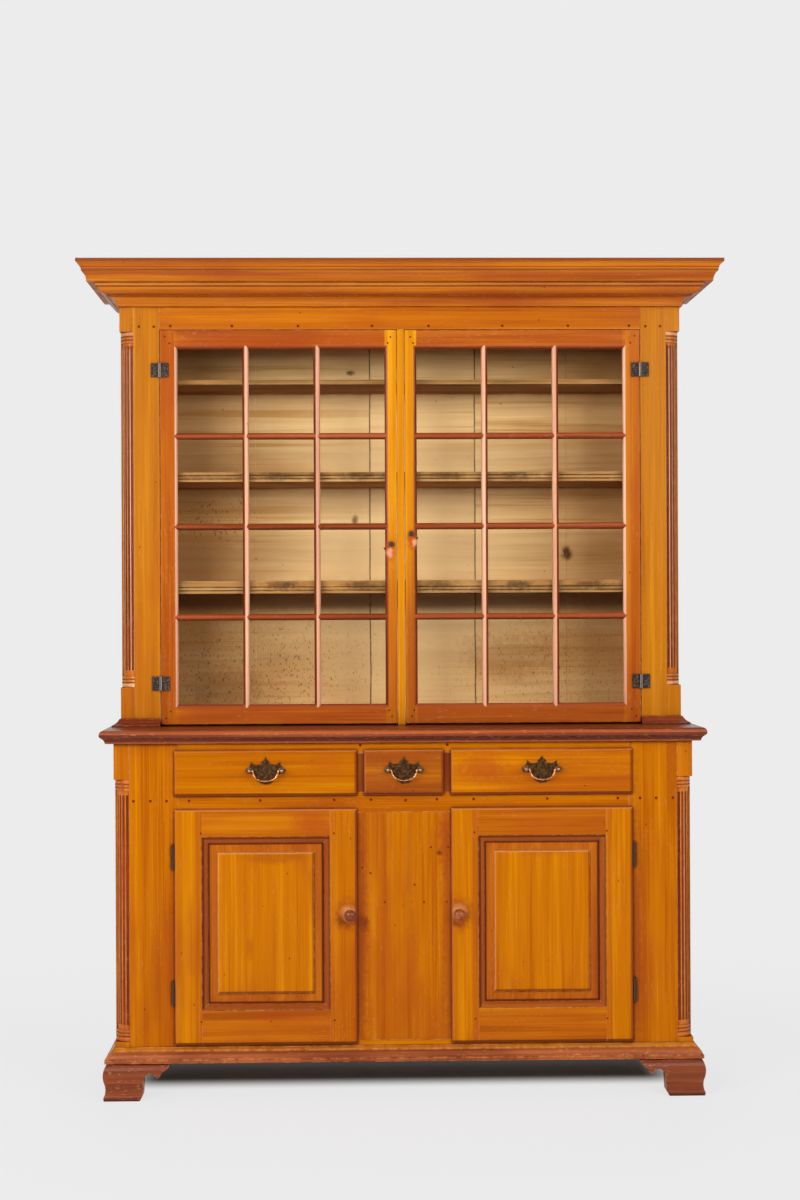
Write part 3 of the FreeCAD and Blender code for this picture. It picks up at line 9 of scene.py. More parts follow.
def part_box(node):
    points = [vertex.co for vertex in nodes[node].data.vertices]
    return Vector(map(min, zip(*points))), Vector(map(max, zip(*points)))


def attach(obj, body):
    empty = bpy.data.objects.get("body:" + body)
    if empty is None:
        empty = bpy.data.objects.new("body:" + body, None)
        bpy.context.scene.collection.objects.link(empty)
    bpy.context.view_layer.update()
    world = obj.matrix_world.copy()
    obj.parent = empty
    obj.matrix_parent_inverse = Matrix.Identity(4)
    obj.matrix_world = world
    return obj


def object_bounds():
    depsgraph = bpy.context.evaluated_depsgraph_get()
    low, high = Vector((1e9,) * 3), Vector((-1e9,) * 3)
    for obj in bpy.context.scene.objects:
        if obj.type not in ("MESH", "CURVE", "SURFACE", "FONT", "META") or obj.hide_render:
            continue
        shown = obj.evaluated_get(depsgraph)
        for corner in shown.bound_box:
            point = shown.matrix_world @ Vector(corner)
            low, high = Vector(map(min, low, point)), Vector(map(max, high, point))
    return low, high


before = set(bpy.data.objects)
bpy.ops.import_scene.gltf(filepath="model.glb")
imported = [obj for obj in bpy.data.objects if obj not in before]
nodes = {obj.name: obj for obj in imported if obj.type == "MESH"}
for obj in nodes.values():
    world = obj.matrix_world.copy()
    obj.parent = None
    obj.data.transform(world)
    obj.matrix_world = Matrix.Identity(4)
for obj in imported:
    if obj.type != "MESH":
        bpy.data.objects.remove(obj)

cadBox = [list(corner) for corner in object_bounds()]
scene = bpy.context.scene
print("frame loaded:", len(nodes), "nodes")


# small helpers for node trees

def tint(red, green, blue):
    # an eight-bit screen colour as the linear colour that a socket takes
    def linear(level):
        level /= 255
        return level / 12.92 if level <= 0.04045 else ((level + 0.055) / 1.055) ** 2.4
    return (linear(red), linear(green), linear(blue), 1.0)


def plugIn(tree, socket, value):
    if isinstance(value, bpy.types.NodeSocket):
        tree.links.new(value, socket)
    else:
        socket.default_value = value


def addNode(tree, kind, inputs=None, **settings):
    made = tree.nodes.new("ShaderNode" + kind)
    for name, value in settings.items():
        setattr(made, name, value)
    for key, value in (inputs or {}).items():
        plugIn(tree, made.inputs[key], value)
    return made


def outOf(tree, kind, inputs, **settings):
    # what a new node gives out first
    return addNode(tree, kind, inputs, **settings).outputs[0]


def calc(tree, operation, first, second=0.0, clamp=False):
    return outOf(tree, "Math", {0: first, 1: second}, operation=operation, use_clamp=clamp)


def times(tree, first, second):
    return calc(tree, "MULTIPLY", first, second)


def plus(tree, first, second):
    return calc(tree, "ADD", first, second)


def minus(tree, first, second):
    return calc(tree, "SUBTRACT", first, second)


def absolute(tree, value):
    return calc(tree, "ABSOLUTE", value)


def spread(tree, value, low, high, newLow=0.0, newHigh=1.0):
    ends = {"Value": value, "From Min": low, "From Max": high, "To Min": newLow, "To Max": newHigh}
    return addNode(tree, "MapRange", ends, interpolation_type="SMOOTHSTEP").outputs["Result"]


def fall(tree, value, low, high):
    return spread(tree, value, low, high, 1.0, 0.0)


def splitUp(tree, vector):
    return addNode(tree, "SeparateXYZ", {0: vector}).outputs


def lengthOf(tree, vector):
    return addNode(tree, "VectorMath", {0: vector}, operation="LENGTH").outputs["Value"]


def onObject(tree):
    return addNode(tree, "TexCoord").outputs["Object"]


def blendColour(tree, factor, first, second):
    return addNode(tree, "Mix", {0: factor, 6: first, 7: second}, data_type="RGBA").outputs[2]


def paintOver(tree, colour, layers):
    # each layer is a mask, how strongly it shows, and its colour
    for mask, strength, shade in layers:
        if strength:
            colour = blendColour(tree, times(tree, mask, strength), colour, tint(*shade))
    return colour


def noise(tree, vector, scale, detail=2.0, roughness=0.5):
    settings = {"Vector": vector, "Scale": scale, "Detail": detail, "Roughness": roughness}
    return addNode(tree, "TexNoise", settings).outputs["Fac"]


def vectorCalc(tree, operation, first, second):
    return outOf(tree, "VectorMath", {0: first, 1: second}, operation=operation)


def longNoise(tree, vector, stretch, detail=2.0, roughness=0.5):
    # noise with a scale of its own along each axis
    return noise(tree, vectorCalc(tree, "MULTIPLY", vector, stretch), 1.0, detail, roughness)


def newGroup(name, inputs):
    tree = bpy.data.node_groups.new(name, "ShaderNodeTree")
    kinds = {"vector": "NodeSocketVector", "value": "NodeSocketFloat"}
    for label, kind in inputs.items():
        tree.interface.new_socket(label, in_out="INPUT", socket_type=kinds[kind])
    return tree, tree.nodes.new("NodeGroupInput").outputs


def handOut(tree, results):
    # gives the group an output for each result
    for label, value in results.items():
        kind = "NodeSocketVector" if value.type == "VECTOR" else "NodeSocketFloat"
        tree.interface.new_socket(label, in_out="OUTPUT", socket_type=kind)
    give = tree.nodes.new("NodeGroupOutput").inputs
    for label, value in results.items():
        plugIn(tree, give[label], value)


def useGroup(tree, group, inputs):
    return addNode(tree, "Group", inputs, node_tree=group).outputs


# shared effects

def makeBoardGrain():
    # the grain runs along the first axis of the vector
    tree, take = newGroup("boardGrain", {"Vector": "vector", "Ring Spacing": "value", "Ring Warp": "value"})
    vector = take["Vector"]
    streak = longNoise(tree, vector, (0.8, 32, 32), 4.0, 0.62)
    fibre = longNoise(tree, vector, (3.0, 260, 260), 2.0, 0.6)
    body = plus(tree, times(tree, streak, 0.72), times(tree, fibre, 0.28))
    warp = longNoise(tree, vector, (0.8, 5, 5), 1.0, 0.5)
    split = splitUp(tree, vector)
    across = plus(tree, split[1], times(tree, split[2], 0.6))
    turns = calc(tree, "DIVIDE", across, take["Ring Spacing"])
    phase = plus(tree, turns, times(tree, warp, take["Ring Warp"]))
    saw = calc(tree, "FRACT", phase)
    ring = times(tree, spread(tree, saw, 0.35, 0.9), fall(tree, saw, 0.91, 1.0))
    handOut(tree, {"Pale": spread(tree, body, 0.5, 0.62),
                   "Deep": fall(tree, body, 0.37, 0.5),
                   "Ring": times(tree, ring, spread(tree, streak, 0.4, 0.6)),
                   "Height": plus(tree, times(tree, fibre, 0.7), times(tree, ring, 0.3))})
    return tree


def makeHandWear():
    # rubbed edges that are partly a painted highlight, chips out of them, dirt and painted shade in the
    # corners, and painted shade beside raised work, tinted like browned varnish
    tree, take = newGroup("handWear", {"Vector": "vector", "Edge Size": "value", "Grime Reach": "value"})
    rounded = outOf(tree, "Bevel", {"Radius": take["Edge Size"]}, samples=4)
    flat = addNode(tree, "NewGeometry").outputs["True Normal"]
    turn = addNode(tree, "VectorMath", {0: rounded, 1: flat}, operation="DOT_PRODUCT").outputs["Value"]
    bare = spread(tree, minus(tree, 1.0, turn), 0.012, 0.15)
    patchy = noise(tree, take["Vector"], 48.0, 3.0, 0.65)
    cloud = noise(tree, take["Vector"], 13.0, 3.0, 0.6)

    def openness(reach):
        return addNode(tree, "AmbientOcclusion", {"Distance": reach}, samples=6).outputs["AO"]

    # both occlusion masks paint shade: the near one in corners and creases, the wide one beside raised work
    near = fall(tree, openness(take["Grime Reach"]), 0.35, 0.9)
    wide = fall(tree, openness(times(tree, take["Grime Reach"], 4.0)), 0.55, 0.98)
    handOut(tree, {"Edge": times(tree, bare, spread(tree, patchy, 0.36, 0.6)),
                   "Chip": times(tree, bare, spread(tree, patchy, 0.56, 0.62)),
                   "Grime": times(tree, near, spread(tree, cloud, 0.25, 0.6, 0.5, 1.0)),
                   "Smoke": times(tree, wide, spread(tree, cloud, 0.3, 0.65, 0.35, 1.0)),
                   "Normal": rounded})
    return tree


def makeOldVarnish():
    # slow changes of colour, small dark specks, rubbed flecks and an uneven sheen
    tree, take = newGroup("oldVarnish", {"Vector": "vector"})
    vector = take["Vector"]
    blotch = longNoise(tree, vector, (2.0, 6.0, 6.0), 3.0, 0.55)
    cells = vectorCalc(tree, "MULTIPLY", vector, (24, 34, 34))
    cell = addNode(tree, "TexVoronoi", {"Vector": cells, "Scale": 1.0}).outputs
    chosen = spread(tree, splitUp(tree, cell["Color"])[0], 0.72, 0.76)
    fleck = longNoise(tree, vector, (60, 190, 190), 3.0, 0.62)
    patch = longNoise(tree, vector, (7, 14, 14))
    handOut(tree, {"Blotch": spread(tree, blotch, 0.46, 0.68),
                   "Speck": times(tree, fall(tree, cell["Distance"], 0.03, 0.09), chosen),
                   "Fleck": times(tree, spread(tree, fleck, 0.58, 0.65), spread(tree, patch, 0.44, 0.58)),
                   "Sheen": longNoise(tree, vector, (6, 26, 26), 3.0, 0.6)})
    return tree


def makeSmudge():
    # a soft uneven spot about a centre, with its reach along each axis
    tree, take = newGroup("smudge", {"Vector": "vector", "Centre": "vector", "Reach": "vector",
                                     "Ragged": "value"})
    away = vectorCalc(tree, "SUBTRACT", take["Vector"], take["Centre"])
    distance = lengthOf(tree, vectorCalc(tree, "DIVIDE", away, take["Reach"]))
    shake = minus(tree, noise(tree, take["Vector"], 70.0, 4.0, 0.65), 0.5)
    ragged = plus(tree, distance, times(tree, shake, take["Ragged"]))
    handOut(tree, {"Mark": fall(tree, ragged, 0.2, 1.0)})
    return tree


boardGrain = makeBoardGrain()
handWear = makeHandWear()
oldVarnish = makeOldVarnish()
smudge = makeSmudge()
print("shared effects ready")


def newMaterial(name):
    material = bpy.data.materials.new(name)
    material.use_nodes = True
    tree = material.node_tree
    tree.nodes.clear()
    return material, tree


def showSurface(tree, kind, inputs):
    addNode(tree, "OutputMaterial", {"Surface": outOf(tree, kind, inputs)})


# places on the object that several pieces of paint and hardware refer to

sides = ("left", "right")
drawers = ("left", "centre", "right")
knobRadius = 0.0155
latchRub = 0.024


def each(names, part):
    return [f"{name}_{part}" for name in names]


def grownBox(name, out):
    low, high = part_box(name)
    return low - Vector((out, 0, out)), high + Vector((out, 0, out))


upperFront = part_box("upper_stiles")[0].y
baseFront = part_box("base_stiles")[0].y
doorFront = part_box("left_base_door_frame")[0].y
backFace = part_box("upper_back")[0].y
capHeight = 0.011
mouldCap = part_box("base_moulding")[1].z - capHeight
plankJoints = [-0.077, 0.215]
plankGap = dict(wander=0.004, width=(0.0008, 0.0026), show=0.85)
# stiles and upright bars of a framed door lie this far out from the middle; grain runs across elsewhere
uprightBands = {
    "sash": dict(stiles=[(0.0, 0.043), (0.583, 0.64)], bars=[(0.2105, 0.2295), (0.397, 0.416)]),
    "door": dict(stiles=[(0.0, 0.206), (0.498, 0.6)], bars=[]),
}
panelParts = dict(bevel=0.031, moulding=0.008)
doorStile = 0.053
meetingPart = dict(edge=0.0415, fade=(1.15, 1.55), least=0.25)
sashParts = dict(hinge=0.045, meeting=0.031, top=0.049, bottom=0.051, ovolo=0.008, nose=0.005)
columnRadius = {"upper_columns": 0.031, "base_columns": 0.034}
columnParts = dict(torus=0.0035, collar=0.045, edge=0.012, slopeSoft=0.0003, ringShow=0.55,
                   groove=(-0.0029, -0.0025), slope=(-0.0019, -0.0008), ring=(0.0014, 0.0028))
lineOverhang = 0.002
softEdge = 0.0008
softLine = 0.0015
# how much of a finish shows where it only half covers another
thinShow = 0.7


# wood finishes: colours of the board, its dirt and painted shade, and its worn edges that are partly a
# painted highlight, then how much of each shows

def toned(look, deep, middle, pale, **others):
    # a finish like another one, with its own three tones
    return dict(look, deep=deep, middle=middle, pale=pale, **others)


amberPine = dict(deep=(160, 78, 3), middle=(186, 104, 1), pale=(206, 129, 3), red=(152, 62, 16),
                 dirt=(58, 20, 6), smoke=(124, 48, 12), curve=(140, 58, 20), worn=(226, 162, 112),
                 rough=0.36, specular=0.02, coat=0.05, curveCoat=0.5, ringSpacing=0.021, ringWarp=2.4,
                 ringShow=0.25, edgeSize=0.003, edgeShow=0.5, chipShow=0.4, grimeReach=0.009, grimeShow=0.9,
                 smokeShow=0.5, curveShow=0.3, blotchShow=0.5, speckShow=0.7, fleckShow=0.08,
                 streakShow=0.8, coatRough=0.16, sheen=(-0.08, 0.14), relief=0.1, reliefDepth=0.0006)
upperPine = toned(amberPine, (162, 88, 12), (186, 111, 16), (206, 133, 26), red=(174, 82, 24))
friezePine = toned(amberPine, (158, 76, 14), (184, 98, 14), (204, 122, 14), red=(166, 70, 18),
                   blotchShow=0.6)
postPine = toned(amberPine, (152, 72, 6), (180, 98, 8), (198, 118, 12))
ledgePine = dict(amberPine, smokeShow=0.1)
doorPine = dict(amberPine, deep=(162, 80, 4), pale=(205, 127, 3), ringShow=0.22, edgeSize=0.004,
                edgeShow=0.45, curveShow=0.4, curveCoat=0.3)
railPine = toned(doorPine, (146, 68, 10), (176, 92, 10), (194, 114, 10))
bevelPine = toned(doorPine, (142, 66, 12), (174, 90, 16), (192, 108, 20), red=(146, 58, 18))
stickPine = toned(doorPine, (118, 50, 8), (150, 72, 12), (174, 94, 20), red=(112, 42, 12))
leftDrawerPine = toned(doorPine, (156, 76, 3), (179, 97, 1), (200, 124, 3))
rightDrawerPine = toned(doorPine, (158, 76, 4), (186, 102, 2), (206, 128, 4))
brownPine = toned(doorPine, (126, 58, 13), (160, 84, 18), (188, 108, 18), red=(136, 52, 22),
                  blotchShow=0.55)
# the drawer dividers are darkened with painted shade that stands for the shadow of the drawers' lips
dividerPine = toned(amberPine, (96, 40, 14), (124, 56, 20), (150, 76, 24), red=(90, 34, 16))
brightPine = toned(amberPine, (190, 110, 10), (213, 134, 12), (230, 156, 22), blotchShow=0.15)
sashPine = toned(amberPine, (146, 60, 17), (176, 86, 24), (198, 110, 28), red=(142, 54, 22),
                 worn=(236, 188, 156), edgeShow=0.35, ringShow=0.16, curveShow=0.0, curveCoat=0.3)
ovoloPine = toned(sashPine, (120, 48, 18), (158, 74, 38), (180, 98, 58))
shadePine = toned(sashPine, (84, 32, 10), (112, 46, 18), (140, 66, 32))
# painted highlight for the sides of the glazing bars
creamPine = toned(sashPine, (200, 134, 100), (224, 164, 130), (240, 188, 156), red=(208, 142, 108),
                  blotchShow=0.3)
cornicePine = toned(amberPine, (142, 62, 15), (178, 96, 22), (200, 120, 20), red=(150, 60, 22),
                    dirt=(70, 27, 13), ringShow=0.2, smokeShow=0.1, curveShow=0.0, curveCoat=0.25,
                    edgeShow=0.15, chipShow=0.15)
rightSashPine = toned(sashPine, (138, 56, 17), (166, 79, 24), (188, 102, 27))
# painted shade for the end returns of the cornice
returnPine = toned(cornicePine, (88, 46, 26), (118, 64, 34), (140, 82, 46), red=(90, 40, 24))
waistPine = toned(amberPine, (90, 32, 15), (138, 60, 28), (172, 88, 46), red=(112, 40, 24),
                  dirt=(44, 14, 8), smoke=(80, 28, 18), worn=(224, 140, 78), specular=0.06, coat=0.3,
                  curveShow=0.0, fleckShow=0.4, ringShow=0.3)
# the cove under the waist's nose is darkened with painted shade
covePine = toned(waistPine, (64, 22, 8), (98, 38, 14), (128, 58, 26), curveCoat=0.3)
footPine = toned(waistPine, (82, 32, 16), (128, 61, 34), (160, 88, 54), red=(100, 40, 22),
                 worn=(216, 150, 100), coat=0.1, curveCoat=0.2, edgeSize=0.004, edgeShow=0.8, fleckShow=0.3,
                 blotchShow=0.6, ringShow=0.5)
mouldPine = toned(footPine, (118, 50, 22), (166, 86, 46), (190, 110, 62), worn=(230, 142, 76),
                  edgeSize=0.007, edgeShow=0.9, fleckShow=0.5, chipShow=0.9)
knobPine = toned(footPine, (96, 42, 14), (144, 72, 28), (180, 102, 44), worn=(240, 194, 148), coat=0.35,
                 curveCoat=0.35, edgeShow=0.4)
columnPine = toned(waistPine, (150, 66, 14), (196, 104, 30), (218, 134, 54), red=(166, 70, 24),
                   dirt=(70, 22, 6), worn=(246, 206, 170), specular=0.03, coat=0.05, curveCoat=0.2,
                   curveShow=0.05, fleckShow=0.1, edgeSize=0.002, edgeShow=0.25, chipShow=0.1,
                   grimeReach=0.005, grimeShow=0.4, smokeShow=0.1)
flutePine = toned(columnPine, (84, 32, 10), (124, 54, 20), (150, 76, 34))
# painted highlights for the reeds and end rings of the columns
reedPine = toned(columnPine, (222, 170, 126), (240, 194, 150), (252, 218, 182))
dullReedPine = toned(columnPine, (176, 86, 26), (208, 112, 40), (228, 140, 62))
strawPine = toned(amberPine, (206, 150, 84), (248, 206, 142), (255, 222, 164), red=(198, 136, 72),
                  dirt=(58, 34, 16), worn=(250, 222, 176), smoke=(170, 112, 60), rough=0.68, coat=0.0,
                  curveCoat=0.0, curveShow=0.0, ringShow=0.3, edgeShow=0.2, speckShow=0.9, smokeShow=0.3)
shelfPine = toned(strawPine, (160, 114, 64), (210, 166, 108), (230, 190, 134), ringShow=0.4)
shelfEdgePine = toned(shelfPine, (120, 82, 42), (176, 132, 78), (206, 164, 108))
# painted shade for the undersides of the shelves
underPine = toned(shelfPine, (120, 78, 44), (152, 106, 66), (172, 126, 82))
rawPine = toned(strawPine, (146, 108, 66), (196, 156, 104), (216, 182, 132), ringShow=0.4)


def markLayers(tree, place, marks):
    layers = []
    for mark in marks:
        mask = useGroup(tree, smudge, {"Vector": place, "Centre": mark["at"], "Reach": mark["reach"],
                                       "Ragged": mark.get("ragged", 1.1)})["Mark"]
        if mark.get("drips"):
            drops = longNoise(tree, place, (190, 1, 110), 3.0, 0.6)
            mask = times(tree, mask, spread(tree, drops, 0.58, 0.68))
        layers.append((mask, mark["show"], mark["shade"]))
    return layers


def between(tree, value, low, high, soft=softEdge):
    rise = spread(tree, value, low - soft, low + soft)
    return times(tree, rise, fall(tree, value, high - soft, high + soft))


def facingParts(tree):
    return splitUp(tree, addNode(tree, "TexCoord").outputs["Normal"])


def curvedWork(tree):
    # how far a face turns away from the six plain directions, as mouldings and rounded edges do
    parts = [absolute(tree, part) for part in facingParts(tree)]
    most = calc(tree, "MAXIMUM", calc(tree, "MAXIMUM", parts[0], parts[1]), parts[2])
    return fall(tree, most, 0.93, 0.995)


def edgeLines(tree, place, low, high, lines):
    # lines along the sides of an upright rectangle
    x, _, z = splitUp(tree, place)
    upright = between(tree, z, low.z, high.z)
    level = between(tree, x, low.x, high.x)
    layers = []
    for side, line in lines.items():
        width = line["width"]
        along, within, start, end = {
            "left": (x, upright, low.x - lineOverhang, low.x + width),
            "right": (x, upright, high.x - width, high.x + lineOverhang),
            "bottom": (z, level, low.z - lineOverhang, low.z + width),
            "top": (z, level, high.z - width, high.z + lineOverhang)}[side]
        mask = times(tree, between(tree, along, start, end, line.get("soft", softLine)), within)
        layers.append((mask, line["show"], line["shade"]))
    return layers


def jointLayers(tree, place, joints, shade):
    # dark gaps between planks, each a little crooked
    crooked = plus(tree, splitUp(tree, place)[0], times(tree, noise(tree, place, 9.0), plankGap["wander"]))
    layers = []
    for joint in joints:
        gap = absolute(tree, minus(tree, crooked, joint + plankGap["wander"] / 2))
        layers.append((fall(tree, gap, *plankGap["width"]), plankGap["show"], shade))
    return layers


finishes = {}


def addWood(name, look, marks=(), others=(), joints=(), bands=(), edges=()):
    # others are further finishes, each with a function whose mask says where it shows
    material, tree = newMaterial(f"{name}Pine")
    board = addNode(tree, "Attribute", attribute_name="grainPlace").outputs["Vector"]
    place = onObject(tree)
    grain = useGroup(tree, boardGrain, {"Vector": board, "Ring Spacing": look["ringSpacing"],
                                        "Ring Warp": look["ringWarp"]})
    wear = useGroup(tree, handWear, {"Vector": place, "Edge Size": look["edgeSize"],
                                     "Grime Reach": look["grimeReach"]})
    varnish = useGroup(tree, oldVarnish, {"Vector": board})

    def ground(shades):
        return paintOver(tree, tint(*shades["middle"]), [
            (grain["Pale"], shades["streakShow"], shades["pale"]),
            (grain["Deep"], shades["streakShow"], shades["deep"]),
            (grain["Ring"], shades["ringShow"], shades["deep"]),
            (varnish["Blotch"], shades["blotchShow"], shades["red"])])

    colour = ground(look)
    for other, where in others:
        colour = blendColour(tree, where(tree, place), colour, ground(other))
    layers = [(varnish["Speck"], look["speckShow"], look["dirt"]),
              (varnish["Fleck"], look["fleckShow"], look["worn"])]
    layers += markLayers(tree, place, marks)
    height = splitUp(tree, place)[2]
    layers += [(between(tree, height, *band["span"]), band["show"], band["shade"]) for band in bands]
    for low, high, lines in edges:
        layers += edgeLines(tree, place, low, high, lines)
    if joints:
        layers += jointLayers(tree, place, joints, look["dirt"])
    curved = curvedWork(tree)
    layers += [(curved, look["curveShow"], look["curve"]),
               # painted shade from occlusion beside raised work and in corners; the rubbed edges are partly
               # a painted highlight
               (wear["Smoke"], look["smokeShow"], look["smoke"]),
               (wear["Edge"], look["edgeShow"], look["worn"]),
               (wear["Chip"], look["chipShow"], look["worn"]),
               (wear["Grime"], look["grimeShow"], look["dirt"])]
    bump = outOf(tree, "Bump", {"Strength": look["relief"], "Distance": look["reliefDepth"],
                                "Height": grain["Height"], "Normal": wear["Normal"]})
    rough = spread(tree, varnish["Sheen"], 0.25, 0.75, *(look["rough"] + change for change in look["sheen"]))
    coat = look["coat"]
    if look["curveCoat"] != coat:
        coat = spread(tree, curved, 0.0, 1.0, coat, look["curveCoat"])
    showSurface(tree, "BsdfPrincipled", {
        "Base Color": paintOver(tree, colour, layers), "Roughness": rough, "Normal": bump,
        "Specular IOR Level": look["specular"], "Coat Weight": coat, "Coat Roughness": look["coatRough"],
        "Coat Normal": bump})
    finishes[name] = material


# masks that say where a finish shows

def outward(tree, place):
    # how far a point lies from the middle of the object, to either side
    return absolute(tree, splitUp(tree, place)[0])


def past(tree, value, edge, soft=0.001):
    return spread(tree, value, edge - soft, edge + soft)


def inRectangle(tree, place, low, high):
    return times(tree, between(tree, outward(tree, place), low.x, high.x),
                 between(tree, splitUp(tree, place)[2], low.z, high.z))


def sashMoulding(tree, place):
    # the glazing bars and the ovolo round the glass
    low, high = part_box("right_sash")
    edge = sashParts["ovolo"]
    return inRectangle(tree, place,
                       low + Vector((sashParts["meeting"] - edge, 0, sashParts["bottom"] - edge)),
                       high - Vector((sashParts["hinge"] - edge, 0, sashParts["top"] - edge)))


def hingeStile(tree, place):
    # the hinge stiles are nearer amber than the rails
    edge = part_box("right_sash")[1].x - sashParts["hinge"]
    return times(tree, past(tree, outward(tree, place), edge), thinShow)


def barNoses(tree, place):
    # the narrow flats along the upright bars between the lights
    out = outward(tree, place)
    half = sashParts["nose"] / 2
    first, second = [between(tree, out, sum(span) / 2 - half, sum(span) / 2 + half)
                     for span in uprightBands["sash"]["bars"]]
    return calc(tree, "MAXIMUM", first, second)


def rubbedSide(sign):
    # the side of each upright bar and stile that looks to the middle gets a painted highlight, and so does
    # the bar's nose
    def mask(tree, place):
        turned = spread(tree, times(tree, facingParts(tree)[0], sign), 0.05, 0.3)
        rubbed = calc(tree, "MAXIMUM", turned, barNoses(tree, place))
        return times(tree, rubbed, sashMoulding(tree, place))
    return mask


def dullSide(sign):
    # the other side, and the underside of each level bar, get painted shade
    def mask(tree, place):
        parts = facingParts(tree)
        away = fall(tree, times(tree, parts[0], sign), -0.5, -0.2)
        under = fall(tree, parts[2], -0.5, -0.15)
        return times(tree, calc(tree, "MAXIMUM", away, under), sashMoulding(tree, place))
    return mask


def underside(tree, place):
    return fall(tree, facingParts(tree)[2], -0.8, -0.4)


def frontEdge(tree, place):
    return fall(tree, facingParts(tree)[1], -0.8, -0.4)


def endReturn(tree, place):
    return times(tree, spread(tree, absolute(tree, facingParts(tree)[0]), 0.25, 0.5), thinShow)


def doorRails(tree, place):
    low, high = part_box("right_base_door_frame")
    side = Vector((doorStile, 0, 0))
    return inRectangle(tree, place, low + side, high - side)


def panelBevel(tree, place):
    field = grownBox("right_base_door_panel", -panelParts["bevel"])
    return minus(tree, 1.0, inRectangle(tree, place, *field))


def doorMoulding(tree, place):
    return inRectangle(tree, place, *grownBox("right_base_door_panel", panelParts["moulding"]))


def outFromAxis(tree, place, node):
    # how far a point of a column stands out from its axis, less the radius of the shaft
    low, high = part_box(node)
    reach = columnRadius[node] + columnParts["torus"]
    across = minus(tree, outward(tree, place), high.x - reach)
    inward = minus(tree, splitUp(tree, place)[1], low.y + reach)
    away = outOf(tree, "CombineXYZ", {0: across, 1: inward})
    return minus(tree, lengthOf(tree, away), columnRadius[node])


def inFlutes(node):
    # the bottom of the flutes is darkened with settled dirt and painted shade
    def mask(tree, place):
        return fall(tree, outFromAxis(tree, place, node), *columnParts["groove"])
    return mask


def onReeds(node):
    # the sides of the flutes get a painted highlight along the shaft, and so do the rings at its ends
    def mask(tree, place):
        low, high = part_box(node)
        collar = columnParts["collar"]
        out = outFromAxis(tree, place, node)
        shaft = between(tree, splitUp(tree, place)[2], low.z + collar, high.z - collar)
        slopes = times(tree, between(tree, out, *columnParts["slope"], columnParts["slopeSoft"]), shaft)
        rings = spread(tree, out, *columnParts["ring"], 0.0, columnParts["ringShow"])
        return calc(tree, "ADD", slopes, rings, True)
    return mask


def outerEdge(tree, place):
    return past(tree, outward(tree, place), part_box("upper_columns")[1].x - columnParts["edge"])


def aboveCap(tree, place):
    # the upper strip of the base moulding kept its amber
    return past(tree, splitUp(tree, place)[2], mouldCap)


def meetingStile(tree, place):
    # the meeting stiles are bright above the latches and grow redder below
    beside = past(tree, outward(tree, place), meetingPart["edge"])
    brightness = spread(tree, splitUp(tree, place)[2], *meetingPart["fade"], meetingPart["least"], 1.0)
    return times(tree, minus(tree, 1.0, beside), brightness)


# stains, worn places, and painted light and shade

def onFace(face, spots, depth=0.1):
    # spots on an upright face, each with its place and its reach across and up
    marks = []
    for spot in spots:
        (x, z), (wide, tall) = spot["at"], spot["reach"]
        marks.append(dict(spot, at=(x, face, z), reach=(wide, depth, tall)))
    return marks


def knobMarks(side):
    # the knob is the highest part of its node and the catch behind the door hangs lower
    low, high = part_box(f"{side}_base_knob")
    at = Vector(((low.x + high.x) / 2, low.y, high.z - knobRadius))
    return [dict(at=at, reach=(0.05, 0.4, 0.056), show=0.75, shade=(150, 60, 18)),
            dict(at=at + Vector((-0.012, 0, -0.014)), reach=(0.034, 0.4, 0.024), show=0.7,
                 shade=(96, 36, 12)),
            dict(at=at + Vector((-0.002, 0, 0.003)), reach=(0.029, 0.4, 0.029), show=0.9,
                 shade=(236, 160, 100), ragged=0.7)]


def latchMarks(side):
    low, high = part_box(f"{side}_latch")
    below = Vector(((low.x + high.x) / 2, (low.y + high.y) / 2, high.z - latchRub))
    return [dict(at=below, reach=(0.024, 0.2, 0.034), show=0.85, shade=(176, 62, 18)),
            dict(at=below + Vector((0.004, 0, -0.004)), reach=(0.012, 0.2, 0.016), show=0.6,
                 shade=(240, 186, 140), ragged=2.0)]


centreMarks = onFace(baseFront, [
    dict(at=(0.104, 0.66), reach=(0.03, 0.12), show=0.7, shade=(158, 66, 20)),
    dict(at=(0.09, 0.621), reach=(0.009, 0.012), show=0.9, shade=(110, 44, 16)),
    dict(at=(-0.104, 0.441), reach=(0.02, 0.03), show=0.85, shade=(96, 36, 14)),
    dict(at=(0.012, 0.6), reach=(0.012, 0.2), show=0.4, shade=(150, 84, 24)),
    # painted shade beside the doors, in long bands down the edges of the centre board
    dict(at=(-0.112, 0.43), reach=(0.026, 0.5), show=0.75, shade=(138, 56, 20)),
    dict(at=(0.114, 0.43), reach=(0.03, 0.5), show=0.65, shade=(146, 62, 20)),
    dict(at=(0.02, 0.36), reach=(0.02, 0.2), show=0.5, shade=(158, 74, 20)),
])
stileMarks = onFace(baseFront, [
    # painted shade beside the doors, down the inner edges of the stiles
    dict(at=(0.59, 0.43), reach=(0.026, 0.5), show=0.7, shade=(142, 60, 20)),
    dict(at=(-0.588, 0.43), reach=(0.016, 0.5), show=0.5, shade=(150, 66, 10)),
    dict(at=(-0.64, 0.3), reach=(0.02, 0.16), show=0.3, shade=(150, 76, 10)),
])
panelMarks = onFace(doorFront, [
    dict(at=(-0.33, 0.612), reach=(0.11, 0.022), show=0.55, shade=(150, 74, 16)),
    dict(at=(-0.393, 0.383), reach=(0.016, 0.04), show=0.5, shade=(160, 78, 10)),
    dict(at=(0.36, 0.622), reach=(0.1, 0.016), show=0.4, shade=(160, 80, 20)),
])
railMarks = onFace(doorFront, [
    dict(at=(-0.235, 0.704), reach=(0.07, 0.04), show=0.65, shade=(166, 70, 18)),
    dict(at=(0.35, 0.69), reach=(0.09, 0.03), show=0.5, shade=(168, 76, 18)),
])
